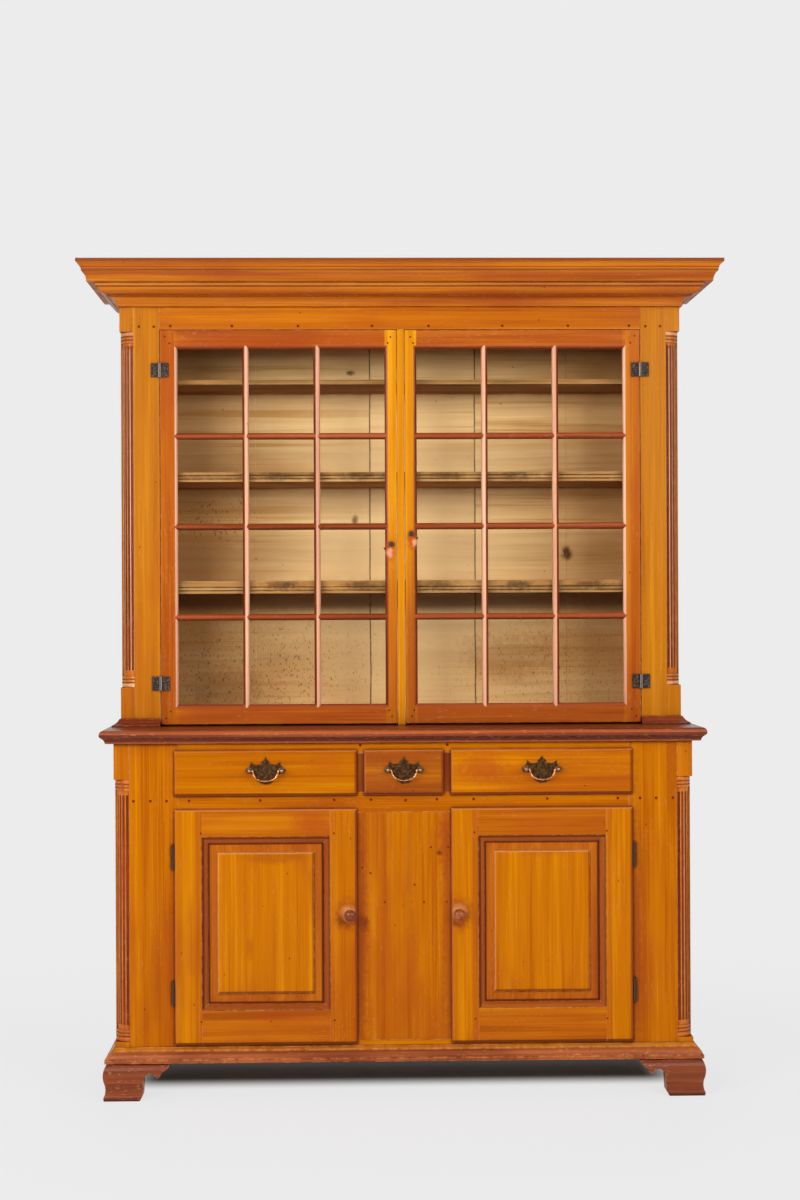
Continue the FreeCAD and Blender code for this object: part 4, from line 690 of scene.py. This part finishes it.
drawerMarks = onFace(doorFront, [
    dict(at=(0.2, 0.84), reach=(0.09, 0.05), show=0.6, shade=(166, 70, 20)),
    dict(at=(-0.2, 0.85), reach=(0.09, 0.04), show=0.4, shade=(170, 78, 16)),
])
shelfStains = {1.306: (-0.31, -0.1, 0.1, 0.31, 0.5), 1.596: (-0.32, -0.11, 0.12, 0.3)}
shelfMarks = [dict(at=(across, 0.0, height), reach=(0.075, 0.2, 0.022), show=0.85, shade=(44, 28, 16))
              for height, places in shelfStains.items() for across in places]
backMarks = onFace(backFace, [
    # painted light: a pale pool in the middle of the back
    dict(at=(0.0, 1.4), reach=(0.44, 0.8), show=0.8, shade=(255, 222, 164), ragged=0.2),
    # painted shade towards both sides
    dict(at=(-0.62, 1.4), reach=(0.4, 1.2), show=0.5, shade=(176, 124, 66), ragged=0.2),
    dict(at=(0.64, 1.4), reach=(0.36, 1.2), show=0.45, shade=(180, 126, 68), ragged=0.2),
    # painted shadow under the lower shelf
    dict(at=(0.0, 1.264), reach=(2.4, 0.042), show=0.8, shade=(96, 58, 30), ragged=0.2),
    dict(at=(0.472, 1.396), reach=(0.022, 0.026), show=0.95, shade=(92, 54, 34)),
    dict(at=(-0.12, 1.49), reach=(0.012, 0.02), show=0.8, shade=(120, 70, 30)),
    dict(at=(-0.13, 1.9), reach=(0.016, 0.01), show=0.8, shade=(70, 40, 20)),
    # darker along the lowest row
    dict(at=(0.0, 1.04), reach=(2.6, 0.26), show=0.3, shade=(170, 112, 54), ragged=0.3),
    dict(at=(-0.5, 1.49), reach=(0.17, 0.1), show=0.85, shade=(84, 48, 22), drips=True),
    dict(at=(-0.4, 1.07), reach=(0.5, 0.22), show=0.75, shade=(92, 54, 24), drips=True),
    dict(at=(0.42, 1.07), reach=(0.4, 0.2), show=0.6, shade=(98, 60, 28), drips=True),
    dict(at=(0.3, 1.11), reach=(0.16, 0.09), show=0.35, shade=(150, 96, 46)),
    dict(at=(-0.47, 1.02), reach=(0.14, 0.08), show=0.4, shade=(132, 80, 38)),
], depth=0.01)


# level bands on the mouldings, as heights above a foot; most of them are painted shade and highlight

def bandsAbove(foot, bands):
    return [dict(band, span=[foot + end for end in band["span"]]) for band in bands]


# painted shadow lines under the steps of the cornice's profile, a painted highlight on one fillet, and a
# darker band at the top
corniceBands = bandsAbove(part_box("cornice")[0].z, [
    dict(span=(0.1035, 0.12), show=0.75, shade=(126, 56, 28)),
    dict(span=(0.0895, 0.0925), show=0.7, shade=(128, 52, 18)),
    dict(span=(0.083, 0.086), show=0.8, shade=(118, 48, 20)),
    dict(span=(0.0745, 0.0765), show=0.6, shade=(150, 62, 30)),
    dict(span=(0.0495, 0.0555), show=0.5, shade=(216, 138, 60)),
    dict(span=(0.0445, 0.0475), show=0.8, shade=(112, 44, 18)),
    dict(span=(0.0235, 0.0285), show=0.75, shade=(132, 50, 20)),
])
noseFoot, noseTop = (end.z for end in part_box("waist_board"))
noseHeight = noseTop - noseFoot
# painted highlight on the upper half of the waist's nose and painted shade along its foot
noseBands = bandsAbove(noseFoot, [
    dict(span=(noseHeight / 2, noseHeight - 0.003), show=0.35, shade=(198, 106, 58)),
    dict(span=(0.0, 0.008), show=0.5, shade=(84, 30, 14)),
])
# painted shade in the cove under the nose, above a lighter strip at its foot
coveBands = bandsAbove(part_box("waist_cove")[0].z, [
    dict(span=(-0.001, 0.0035), show=0.8, shade=(156, 72, 40)),
    dict(span=(0.0045, 0.016), show=0.6, shade=(72, 24, 9)),
])

# painted highlights and shade along the edges of doors, panels and drawers

# painted highlight along the left and top of each lip, painted shade along its right and bottom
lipLines = dict(
    left=dict(width=0.004, show=0.55, shade=(206, 124, 66), soft=softEdge),
    right=dict(width=0.0065, show=0.8, shade=(124, 48, 14), soft=0.003),
    bottom=dict(width=0.0075, show=0.85, shade=(86, 30, 6)),
    top=dict(width=0.004, show=0.85, shade=(220, 138, 76), soft=softEdge),
)
# painted shadow lines along the inner edges of the door frame's sticking
stickLines = dict(
    left=dict(width=0.0045, show=0.85, shade=(86, 34, 10)),
    right=dict(width=0.003, show=0.6, shade=(110, 48, 16)),
    bottom=dict(width=0.003, show=0.5, shade=(150, 76, 36)),
    top=dict(width=0.0045, show=0.8, shade=(90, 36, 10)),
)
# painted shade where the panel's edges run into the frame
tongueLines = dict(
    left=dict(width=0.0105, show=0.85, shade=(74, 28, 8), soft=0.0012),
    right=dict(width=0.012, show=0.9, shade=(70, 26, 8), soft=0.002),
    bottom=dict(width=0.011, show=0.85, shade=(80, 30, 8)),
    top=dict(width=0.0105, show=0.85, shade=(78, 30, 8), soft=0.0012),
)
# painted highlight along the left and top of the raised field, painted shadow along its right and bottom
fieldLines = dict(
    left=dict(width=0.003, show=0.45, shade=(218, 142, 82), soft=softEdge),
    top=dict(width=0.003, show=0.5, shade=(220, 146, 84), soft=softEdge),
    right=dict(width=0.005, show=0.6, shade=(110, 46, 10)),
    bottom=dict(width=0.006, show=0.75, shade=(100, 42, 12)),
)


def doorEdges(side):
    return [(*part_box(f"{side}_base_door_frame"), lipLines),
            (*grownBox(f"{side}_base_door_panel", panelParts["moulding"]), stickLines)]


def panelEdges(side):
    name = f"{side}_base_door_panel"
    return [(*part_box(name), tongueLines), (*grownBox(name, -panelParts["bevel"]), fieldLines)]


def drawerEdges(side):
    return [(*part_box(f"{side}_drawer_front"), lipLines)]


doorTones = [(railPine, doorRails), (stickPine, doorMoulding)]
panelTones = [(bevelPine, panelBevel)]
plainLooks = dict(amber=amberPine, ledge=ledgePine, upper=upperPine, frieze=friezePine, divider=dividerPine,
                  bright=brightPine, foot=footPine, knob=knobPine, post=postPine, raw=rawPine)
for name, look in plainLooks.items():
    addWood(name, look)
addWood("stile", amberPine, stileMarks)
addWood("centre", amberPine, centreMarks)
addWood("leftDrawer", leftDrawerPine, drawerMarks, edges=drawerEdges("left"))
addWood("centreDrawer", brownPine, edges=drawerEdges("centre"))
addWood("rightDrawer", rightDrawerPine, drawerMarks, edges=drawerEdges("right"))
addWood("cornice", cornicePine, others=[(returnPine, endReturn)], bands=corniceBands)
addWood("waist", waistPine, bands=noseBands)
addWood("cove", covePine, bands=coveBands)
addWood("baseMould", mouldPine, others=[(upperPine, aboveCap)])
addWood("column", columnPine, others=[(dullReedPine, onReeds("base_columns")),
                                      (flutePine, inFlutes("base_columns"))])
addWood("upperColumn", columnPine, others=[(upperPine, outerEdge), (reedPine, onReeds("upper_columns")),
                                           (flutePine, inFlutes("upper_columns"))])
# the shelves' undersides take painted shade
addWood("shelf", shelfPine, shelfMarks, [(shelfEdgePine, frontEdge), (underPine, underside)])
addWood("back", strawPine, backMarks, joints=plankJoints)
for side, sign, look in (("left", 1, sashPine), ("right", -1, rightSashPine)):
    sashTones = [(brightPine, meetingStile), (friezePine, hingeStile), (ovoloPine, sashMoulding),
                 (creamPine, rubbedSide(sign)), (shadePine, dullSide(sign))]
    addWood(f"{side}Sash", look, latchMarks(side), sashTones)
    addWood(f"{side}Panel", doorPine, panelMarks, panelTones, edges=panelEdges(side))
    addWood(f"{side}Door", doorPine, railMarks + knobMarks(side), doorTones, edges=doorEdges(side))


# metal and glass

oldIron = dict(grain=190.0, coarse=0.7, spots=(0.5, 0.62), spotShow=0.85, edgeShow=0.5, turnedShow=0.6,
               grimeShow=0.0, grimeReach=0.006, edgeSize=0.0012, pits=0.5, pitDepth=0.0008, metallic=0.6)
plateIron = dict(oldIron, colour=(40, 29, 22), spot=(118, 98, 80), bright=(206, 190, 174), rough=(0.38, 0.7))
baseIron = dict(oldIron, colour=(40, 26, 18), spot=(74, 52, 38), bright=(110, 84, 62), rough=(0.43, 0.75))
oldBrass = dict(grain=150.0, coarse=0.6, spots=(0.42, 0.62, 1.0, 0.0), spotShow=0.7, edgeShow=0.8,
                turnedShow=0.0, grimeShow=0.85, grimeReach=0.007, edgeSize=0.0012, pits=0.2, pitDepth=0.0005,
                metallic=1.0)
plateBrass = dict(oldBrass, colour=(104, 74, 44), spot=(50, 34, 22), bright=(190, 150, 100),
                  rough=(0.28, 0.52))
bailBrass = dict(oldBrass, colour=(226, 160, 106), spot=(196, 128, 78), bright=(250, 216, 164),
                 rough=(0.16, 0.4))
postEnd = dict(reach=(0.0085, 0.2, 0.0085), show=0.9, shade=(186, 150, 122), ragged=0.6)
postPlace = dict(spacing=0.082, drop=0.0026)
oldGlass = dict(tint=(255, 255, 254), ior=1.18, rough=0.02, ripple=0.03, rippleDepth=0.01)


def postMarks():
    # the ends of the posts get a painted highlight
    marks = []
    for name in each(drawers, "drawer_bail"):
        low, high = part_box(name)
        for sign in (-0.5, 0.5):
            at = ((low.x + high.x) / 2 + sign * postPlace["spacing"], low.y, high.z - postPlace["drop"])
            marks.append(dict(postEnd, at=at))
    return marks


def makeMetal(name, look, marks=()):
    material, tree = newMaterial(name)
    place = onObject(tree)
    wear = useGroup(tree, handWear, {"Vector": place, "Edge Size": look["edgeSize"],
                                     "Grime Reach": look["grimeReach"]})
    cloud = noise(tree, place, look["grain"], 4.0, look["coarse"])
    # curved faces that look to the front get a painted highlight
    turned = times(tree, curvedWork(tree), frontEdge(tree, place))
    colour = paintOver(tree, tint(*look["colour"]), [
        (spread(tree, cloud, *look["spots"]), look["spotShow"], look["spot"]),
        (wear["Edge"], look["edgeShow"], look["bright"]),
        (turned, look["turnedShow"], look["bright"]),
        (wear["Grime"], look["grimeShow"], look["spot"]),
        *markLayers(tree, place, marks)])
    bump = outOf(tree, "Bump", {"Strength": look["pits"], "Distance": look["pitDepth"], "Height": cloud,
                                "Normal": wear["Normal"]})
    rough = spread(tree, cloud, 0.3, 0.7, *look["rough"])
    showSurface(tree, "BsdfPrincipled", {"Base Color": colour, "Metallic": look["metallic"],
                                         "Roughness": rough, "Normal": bump})
    return material


def makeGlass():
    material, tree = newMaterial("oldGlass")
    wave = longNoise(tree, onObject(tree), (9, 9, 4))
    bump = outOf(tree, "Bump", {"Strength": oldGlass["ripple"], "Distance": oldGlass["rippleDepth"],
                                "Height": wave})
    clear = outOf(tree, "BsdfTransparent", {"Color": tint(*oldGlass["tint"])})
    gloss = outOf(tree, "BsdfGlossy", {"Roughness": oldGlass["rough"], "Normal": bump})
    fresnel = outOf(tree, "Fresnel", {"IOR": oldGlass["ior"]})
    # only the side that the light meets first reflects, so that a pane stays clear at any angle
    back = addNode(tree, "NewGeometry").outputs["Backfacing"]
    share = times(tree, fresnel, minus(tree, 1.0, back))
    showSurface(tree, "MixShader", {0: share, 1: clear, 2: gloss})
    return material


finishes["iron"] = makeMetal("plateIron", plateIron)
finishes["baseIron"] = makeMetal("baseIron", baseIron)
finishes["plate"] = makeMetal("plateBrass", plateBrass, postMarks())
finishes["bail"] = makeMetal("bailBrass", bailBrass)
finishes["glass"] = makeGlass()
print("finishes ready:", ", ".join(sorted(finishes)))


# which finish each node wears and which way its grain runs

dressing = {
    "amber": {"z": ["base_sides"], "x": ["drawer_rail"]},
    "ledge": {"x": ["base_outer_rails"]},
    "stile": {"z": ["base_stiles"]},
    "upper": {"z": ["upper_sides", "upper_corner_posts", "upper_stiles"]},
    "frieze": {"x": ["frieze_rail"]},
    "divider": {"z": ["drawer_dividers"]},
    "centre": {"z": ["centre_board"]},
    "bright": {"z": ["centre_stile"]},
    "cornice": {"x": ["cornice"]},
    "waist": {"x": ["waist_board", "retaining_moulding"]},
    "cove": {"x": ["waist_cove"]},
    "foot": {"x": ["front_feet"], "y": ["rear_feet"]},
    "knob": {"y": each(sides, "base_knob")},
    "baseMould": {"x": ["base_moulding"]},
    "column": {"z": ["base_columns"]},
    "post": {"z": ["base_corner_posts"]},
    "upperColumn": {"z": ["upper_columns"]},
    "shelf": {"x": ["upper_floor", "lower_shelf", "middle_shelf", "top_shelf"]},
    "back": {"x": ["upper_back"]},
    "raw": {"x": ["base_back", "base_floor", "upper_top"],
            "y": ["drawer_runners", *each(drawers, "drawer_box")]},
    "iron": {"z": ["upper_hinge_leaves", *each(sides, "sash_hinges")]},
    "baseIron": {"z": ["base_hinge_leaves", *each(sides, "base_door_hinges"), *each(sides, "latch")]},
    "plate": {"z": each(drawers, "drawer_pull")},
    "bail": {"z": each(drawers, "drawer_bail")},
    "glass": {"z": each(sides, "glass")},
}
for side in drawers:
    dressing[f"{side}Drawer"] = {"x": [f"{side}_drawer_front"]}
for side in sides:
    dressing[f"{side}Sash"] = {"z": [f"{side}_sash"]}
    dressing[f"{side}Panel"] = {"z": [f"{side}_base_door_panel"]}
    dressing[f"{side}Door"] = {"z": [f"{side}_base_door_frame"]}
grainTurns = {"x": (0, 1, 2), "y": (1, 0, 2), "z": (2, 0, 1)}
grainShift = dict(board=(9, 3, 3), plank=1.7, leftHalf=2.3)


def fetchCounts(items, key):
    values = np.empty(len(items), int)
    items.foreach_get(key, values)
    return values


def fetchPlaces(items, key):
    values = np.empty(len(items) * 3)
    items.foreach_get(key, values)
    return values.reshape(-1, 3)


def writeGrain(name, axis):
    # keeps each board's own grain place on its mesh, so that the pattern moves with it
    mesh = nodes[name].data
    sizes = fetchCounts(mesh.polygons, "loop_total")
    middles = np.repeat(fetchPlaces(mesh.polygons, "center"), sizes, axis=0)
    spot = fetchPlaces(mesh.vertices, "co")[fetchCounts(mesh.loops, "vertex_index")]
    turned = spot[:, grainTurns[axis]]
    framed = "sash" if name.endswith("_sash") else "door" if name.endswith("door_frame") else None
    if framed:
        low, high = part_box(name)
        out = np.abs(middles[:, 0])
        glazed = (middles[:, 2] > low.z + sashParts["bottom"]) & (middles[:, 2] < high.z - sashParts["top"])
        upright = np.zeros(len(out), bool)
        for kind, bands in uprightBands[framed].items():
            for start, end in bands:
                upright |= (out > start) & (out < end) & (glazed | (kind == "stiles"))
        turned = np.where(upright[:, None], turned, spot[:, grainTurns["x"]])
    dice = random.Random(name)
    turned = turned + np.array([dice.uniform(0, most) for most in grainShift["board"]])
    if name == "upper_back":
        turned = turned + grainShift["plank"] * np.searchsorted(plankJoints, middles[:, 0])[:, None]
    # a node with nothing across the middle is a pair of boards, so its left half has other grain
    starts = np.concatenate(([0], np.cumsum(sizes)[:-1]))
    leftmost = np.minimum.reduceat(spot[:, 0], starts)
    rightmost = np.maximum.reduceat(spot[:, 0], starts)
    if not np.any((leftmost < -0.001) & (rightmost > 0.001)):
        turned = turned + np.where(middles[:, :1] < 0, grainShift["leftHalf"], 0.0)
    layer = mesh.attributes.new("grainPlace", "FLOAT_VECTOR", "CORNER")
    layer.data.foreach_set("vector", np.ascontiguousarray(turned, np.float32).ravel())


for finish, ways in dressing.items():
    for axis, names in ways.items():
        for name in names:
            writeGrain(name, axis)
            mesh = nodes[name].data
            mesh.materials.clear()
            mesh.materials.append(finishes[finish])
print("nodes dressed:", sum(len(names) for ways in dressing.values() for names in ways.values()))


# pegs that pin the joints and nails in the boards

pegLook = dict(wood=(118, 44, 8), heart=(84, 28, 5), rim=(58, 18, 4), rough=0.6)
pegSize = dict(radius=0.0036, rise=0.0005, sides=14)
nailSize = dict(radius=0.0024, rise=0.0007, sides=12)
# shares of the radius and of the rise, from the rim of a head to its top
studProfile = [(1.0, 0.0), (0.92, 0.7), (0.55, 1.0)]
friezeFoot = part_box("frieze_rail")[0].z
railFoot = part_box("drawer_rail")[0].z
casePegs = [
    dict(y=upperFront, z=friezeFoot + 0.0095, across=(0.602, 0.441, 0.268, 0.074)),
    dict(y=upperFront, z=friezeFoot + 0.008, across=(0.684, 0.645)),
    dict(y=baseFront, z=railFoot + 0.031, across=(0.688, 0.645, 0.604, 0.547, 0.366, 0.178, 0.084)),
    dict(y=baseFront, z=railFoot + 0.17, across=(0.111,)),
]
centreNails = [(-0.05, 0.4955), (0.05, 0.4955), (0.108, 0.4955), (0.068, 0.635), (0.112, 0.635),
               (-0.086, 0.57), (-0.107, 0.584), (0.026, 0.54)]
middlePeg = Vector((0.004, baseFront, railFoot + 0.029))
sashPegs = [(0.617, 0.016), (0.605, 0.034), (0.026, 0.018), (0.033, 0.034)]
doorPegs = [(0.179, 0.062), (0.517, 0.06)]


def makePegWood():
    material, tree = newMaterial("pegWood")
    place = onObject(tree)
    wear = useGroup(tree, handWear, {"Vector": place, "Edge Size": 0.0008, "Grime Reach": 0.003})
    mottle = noise(tree, place, 600.0, 3.0, 0.6)
    colour = paintOver(tree, tint(*pegLook["wood"]), [
        (spread(tree, mottle, 0.4, 0.65), 0.8, pegLook["heart"]),
        # the rim of each head darkens with dirt and painted shade where it meets the board
        (wear["Grime"], 0.9, pegLook["rim"])])
    showSurface(tree, "BsdfPrincipled", {"Base Color": colour, "Roughness": pegLook["rough"],
                                         "Specular IOR Level": 0.0})
    return material


def addObject(name, data):
    made = bpy.data.objects.new(name, data)
    scene.collection.objects.link(made)
    return made


def addMesh(name, shape, material):
    mesh = bpy.data.meshes.new(name)
    shape.to_mesh(mesh)
    shape.free()
    mesh.materials.append(material)
    return addObject(name, mesh)


def addStuds(name, spots, size, material, body):
    # low domed heads that face the front, one at each spot
    shape = bmesh.new()
    for spot in spots:
        rings = []
        for share, rise in studProfile:
            ring = []
            for step in range(size["sides"]):
                angle = 2 * math.pi * step / size["sides"]
                offset = Vector((math.cos(angle), 0, math.sin(angle))) * size["radius"] * share
                ring.append(shape.verts.new(spot + offset - Vector((0, size["rise"] * rise, 0))))
            rings.append(ring)
        for outer, inner in zip(rings, rings[1:]):
            for step in range(size["sides"]):
                after = (step + 1) % size["sides"]
                shape.faces.new((outer[step], outer[after], inner[after], inner[step]))
        shape.faces.new(rings[-1])
    bmesh.ops.recalc_face_normals(shape, faces=shape.faces)
    made = addMesh(name, shape, material)
    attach(made, body)


def framePegs(name, face, pegs, sign):
    low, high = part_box(name)
    return [Vector((sign * x, face, z)) for x, inset in pegs for z in (high.z - inset, low.z + inset)]


pegWood = makePegWood()
caseSpots = [Vector((sign * across, row["y"], row["z"])) for row in casePegs for across in row["across"]
             for sign in (-1, 1)]
addStuds("casePegs", caseSpots + [middlePeg], pegSize, pegWood, "case")
addStuds("centreNails", [Vector((x, baseFront, z)) for x, z in centreNails], nailSize, pegWood, "case")
for side, sign in (("left", -1), ("right", 1)):
    spots = framePegs(f"{side}_sash", upperFront, sashPegs, sign)
    addStuds(f"{side}SashPegs", spots, nailSize, pegWood, f"{side}_sash_door")
    spots = framePegs(f"{side}_base_door_frame", doorFront, doorPegs, sign)
    addStuds(f"{side}DoorPegs", spots, nailSize, pegWood, f"{side}_base_door")
print("pegs and nails set")


# floor, light and camera

studio = dict(backdrop=(236, 236, 236), worldStrength=0.25, roomLevel=0.12, floorRadius=6.0,
              floorColour=(240, 240, 240), shownFloor=(104, 104, 107), floorLift=0.86, floorFade=(1.0, 2.6))
# where the painted shadow on the floor lies, measured in from the front and the sides and out behind the
# back
underCase = dict(front=(0.13, 0.27), sides=(0.2, 0.04), behind=0.16, show=0.985)
lamps = {
    "key": dict(place=(-2.75, -4.25, 2.2), aim=(0, 0, 1.2), power=172),
    "fill": dict(place=(2.75, -4.25, 2.2), aim=(0, 0, 1.2), power=120),
    "back": dict(place=(0, 4.5, 2.4), aim=(0, 0, 1.1), power=110, mirrored=False),
}
lampSize = (3.4, 1.4)
# the frame's height, the focal length and the shift are in pixels
view = dict(distance=5.5, baseFace=-0.243, height=1.253, across=-0.008, yaw=1.5, roll=-0.25,
            frameHeight=1200, focal=2157.0, shiftUp=5)


def whenShown(tree):
    # rays on which the plain studio is seen: straight, in a reflection or through glass
    path = addNode(tree, "LightPath").outputs
    mirrored = calc(tree, "MAXIMUM", path["Is Glossy Ray"], path["Is Transmission Ray"])
    return calc(tree, "MAXIMUM", path["Is Camera Ray"], mirrored)


def makeFloor():
    material, tree = newMaterial("paleFloor")
    place = onObject(tree)
    # a shadow is painted on the floor between the feet, where the studio's glow is taken away
    split = splitUp(tree, place)
    low, high = Vector(cadBox[0]), Vector(cadBox[1])
    deep = times(tree, spread(tree, split[1], *(low.y + inset for inset in underCase["front"])),
                 fall(tree, split[1], high.y, high.y + underCase["behind"]))
    broad = fall(tree, outward(tree, place), *(high.x - inset for inset in underCase["sides"]))
    hidden = times(tree, times(tree, deep, broad), underCase["show"])
    lift = times(tree, minus(tree, 1.0, hidden), studio["floorLift"])
    matt = outOf(tree, "BsdfDiffuse", {"Color": tint(*studio["floorColour"])})
    shaded = outOf(tree, "BsdfDiffuse", {"Color": tint(*studio["shownFloor"])})
    glow = outOf(tree, "Emission", {"Color": tint(*studio["backdrop"]), "Strength": lift})
    near = outOf(tree, "AddShader", {0: shaded, 1: glow})
    far = outOf(tree, "Emission", {"Color": tint(*studio["backdrop"]), "Strength": 1.0})
    fade = spread(tree, lengthOf(tree, place), *studio["floorFade"])
    faded = outOf(tree, "MixShader", {0: fade, 1: near, 2: far})
    showSurface(tree, "MixShader", {0: whenShown(tree), 1: matt, 2: faded})
    shape = bmesh.new()
    bmesh.ops.create_circle(shape, cap_ends=True, segments=96, radius=studio["floorRadius"])
    floor = addMesh("studioFloor", shape, material)


def makeWorld():
    world = bpy.data.worlds.new("studioWorld")
    scene.world = world
    world.use_nodes = True
    tree = world.node_tree
    tree.nodes.clear()
    # the backdrop is pale all round in the picture; reflections find the room in front of it dimmer
    ahead = splitUp(tree, addNode(tree, "TexCoord").outputs["Generated"])[1]
    level = calc(tree, "MAXIMUM", addNode(tree, "LightPath").outputs["Is Camera Ray"],
                 spread(tree, ahead, -0.2, 0.5, studio["roomLevel"], 1.0))
    seen = outOf(tree, "Background", {"Color": tint(*studio["backdrop"]), "Strength": level})
    lit = outOf(tree, "Background", {"Color": (1, 1, 1, 1), "Strength": studio["worldStrength"]})
    mixed = outOf(tree, "MixShader", {0: whenShown(tree), 1: lit, 2: seen})
    addNode(tree, "OutputWorld", {"Surface": mixed})


def makeLamp(name, spec):
    lamp = bpy.data.lights.new(name, "AREA")
    lamp.shape = "RECTANGLE"
    lamp.size, lamp.size_y = lampSize
    lamp.energy = spec["power"]
    holder = addObject(name, lamp)
    holder.location = spec["place"]
    holder.visible_glossy = spec.get("mirrored", True)
    holder.rotation_euler = (Vector(spec["aim"]) - Vector(spec["place"])).to_track_quat("-Z", "Y").to_euler()


def makeCamera():
    camera = bpy.data.cameras.new("photoView")
    camera.sensor_fit = "VERTICAL"
    camera.sensor_height = 36.0
    camera.lens = view["focal"] * camera.sensor_height / view["frameHeight"]
    camera.shift_y = view["shiftUp"] / view["frameHeight"]
    holder = addObject("photoView", camera)
    yaw = math.radians(view["yaw"])
    holder.location = (view["across"] - view["distance"] * math.sin(yaw),
                       view["baseFace"] - view["distance"] * math.cos(yaw), view["height"])
    turn = Matrix.Rotation(-yaw, 3, "Z") @ Matrix.Rotation(math.radians(90), 3, "X")
    turn = turn @ Matrix.Rotation(math.radians(view["roll"]), 3, "Z")
    holder.rotation_euler = turn.to_euler()
    scene.camera = holder


makeFloor()
makeWorld()
for name, spec in lamps.items():
    makeLamp(name, spec)
makeCamera()
scene.view_settings.view_transform = "Standard"
print("stage, lamps and camera set")

bpy.context.view_layer.update()
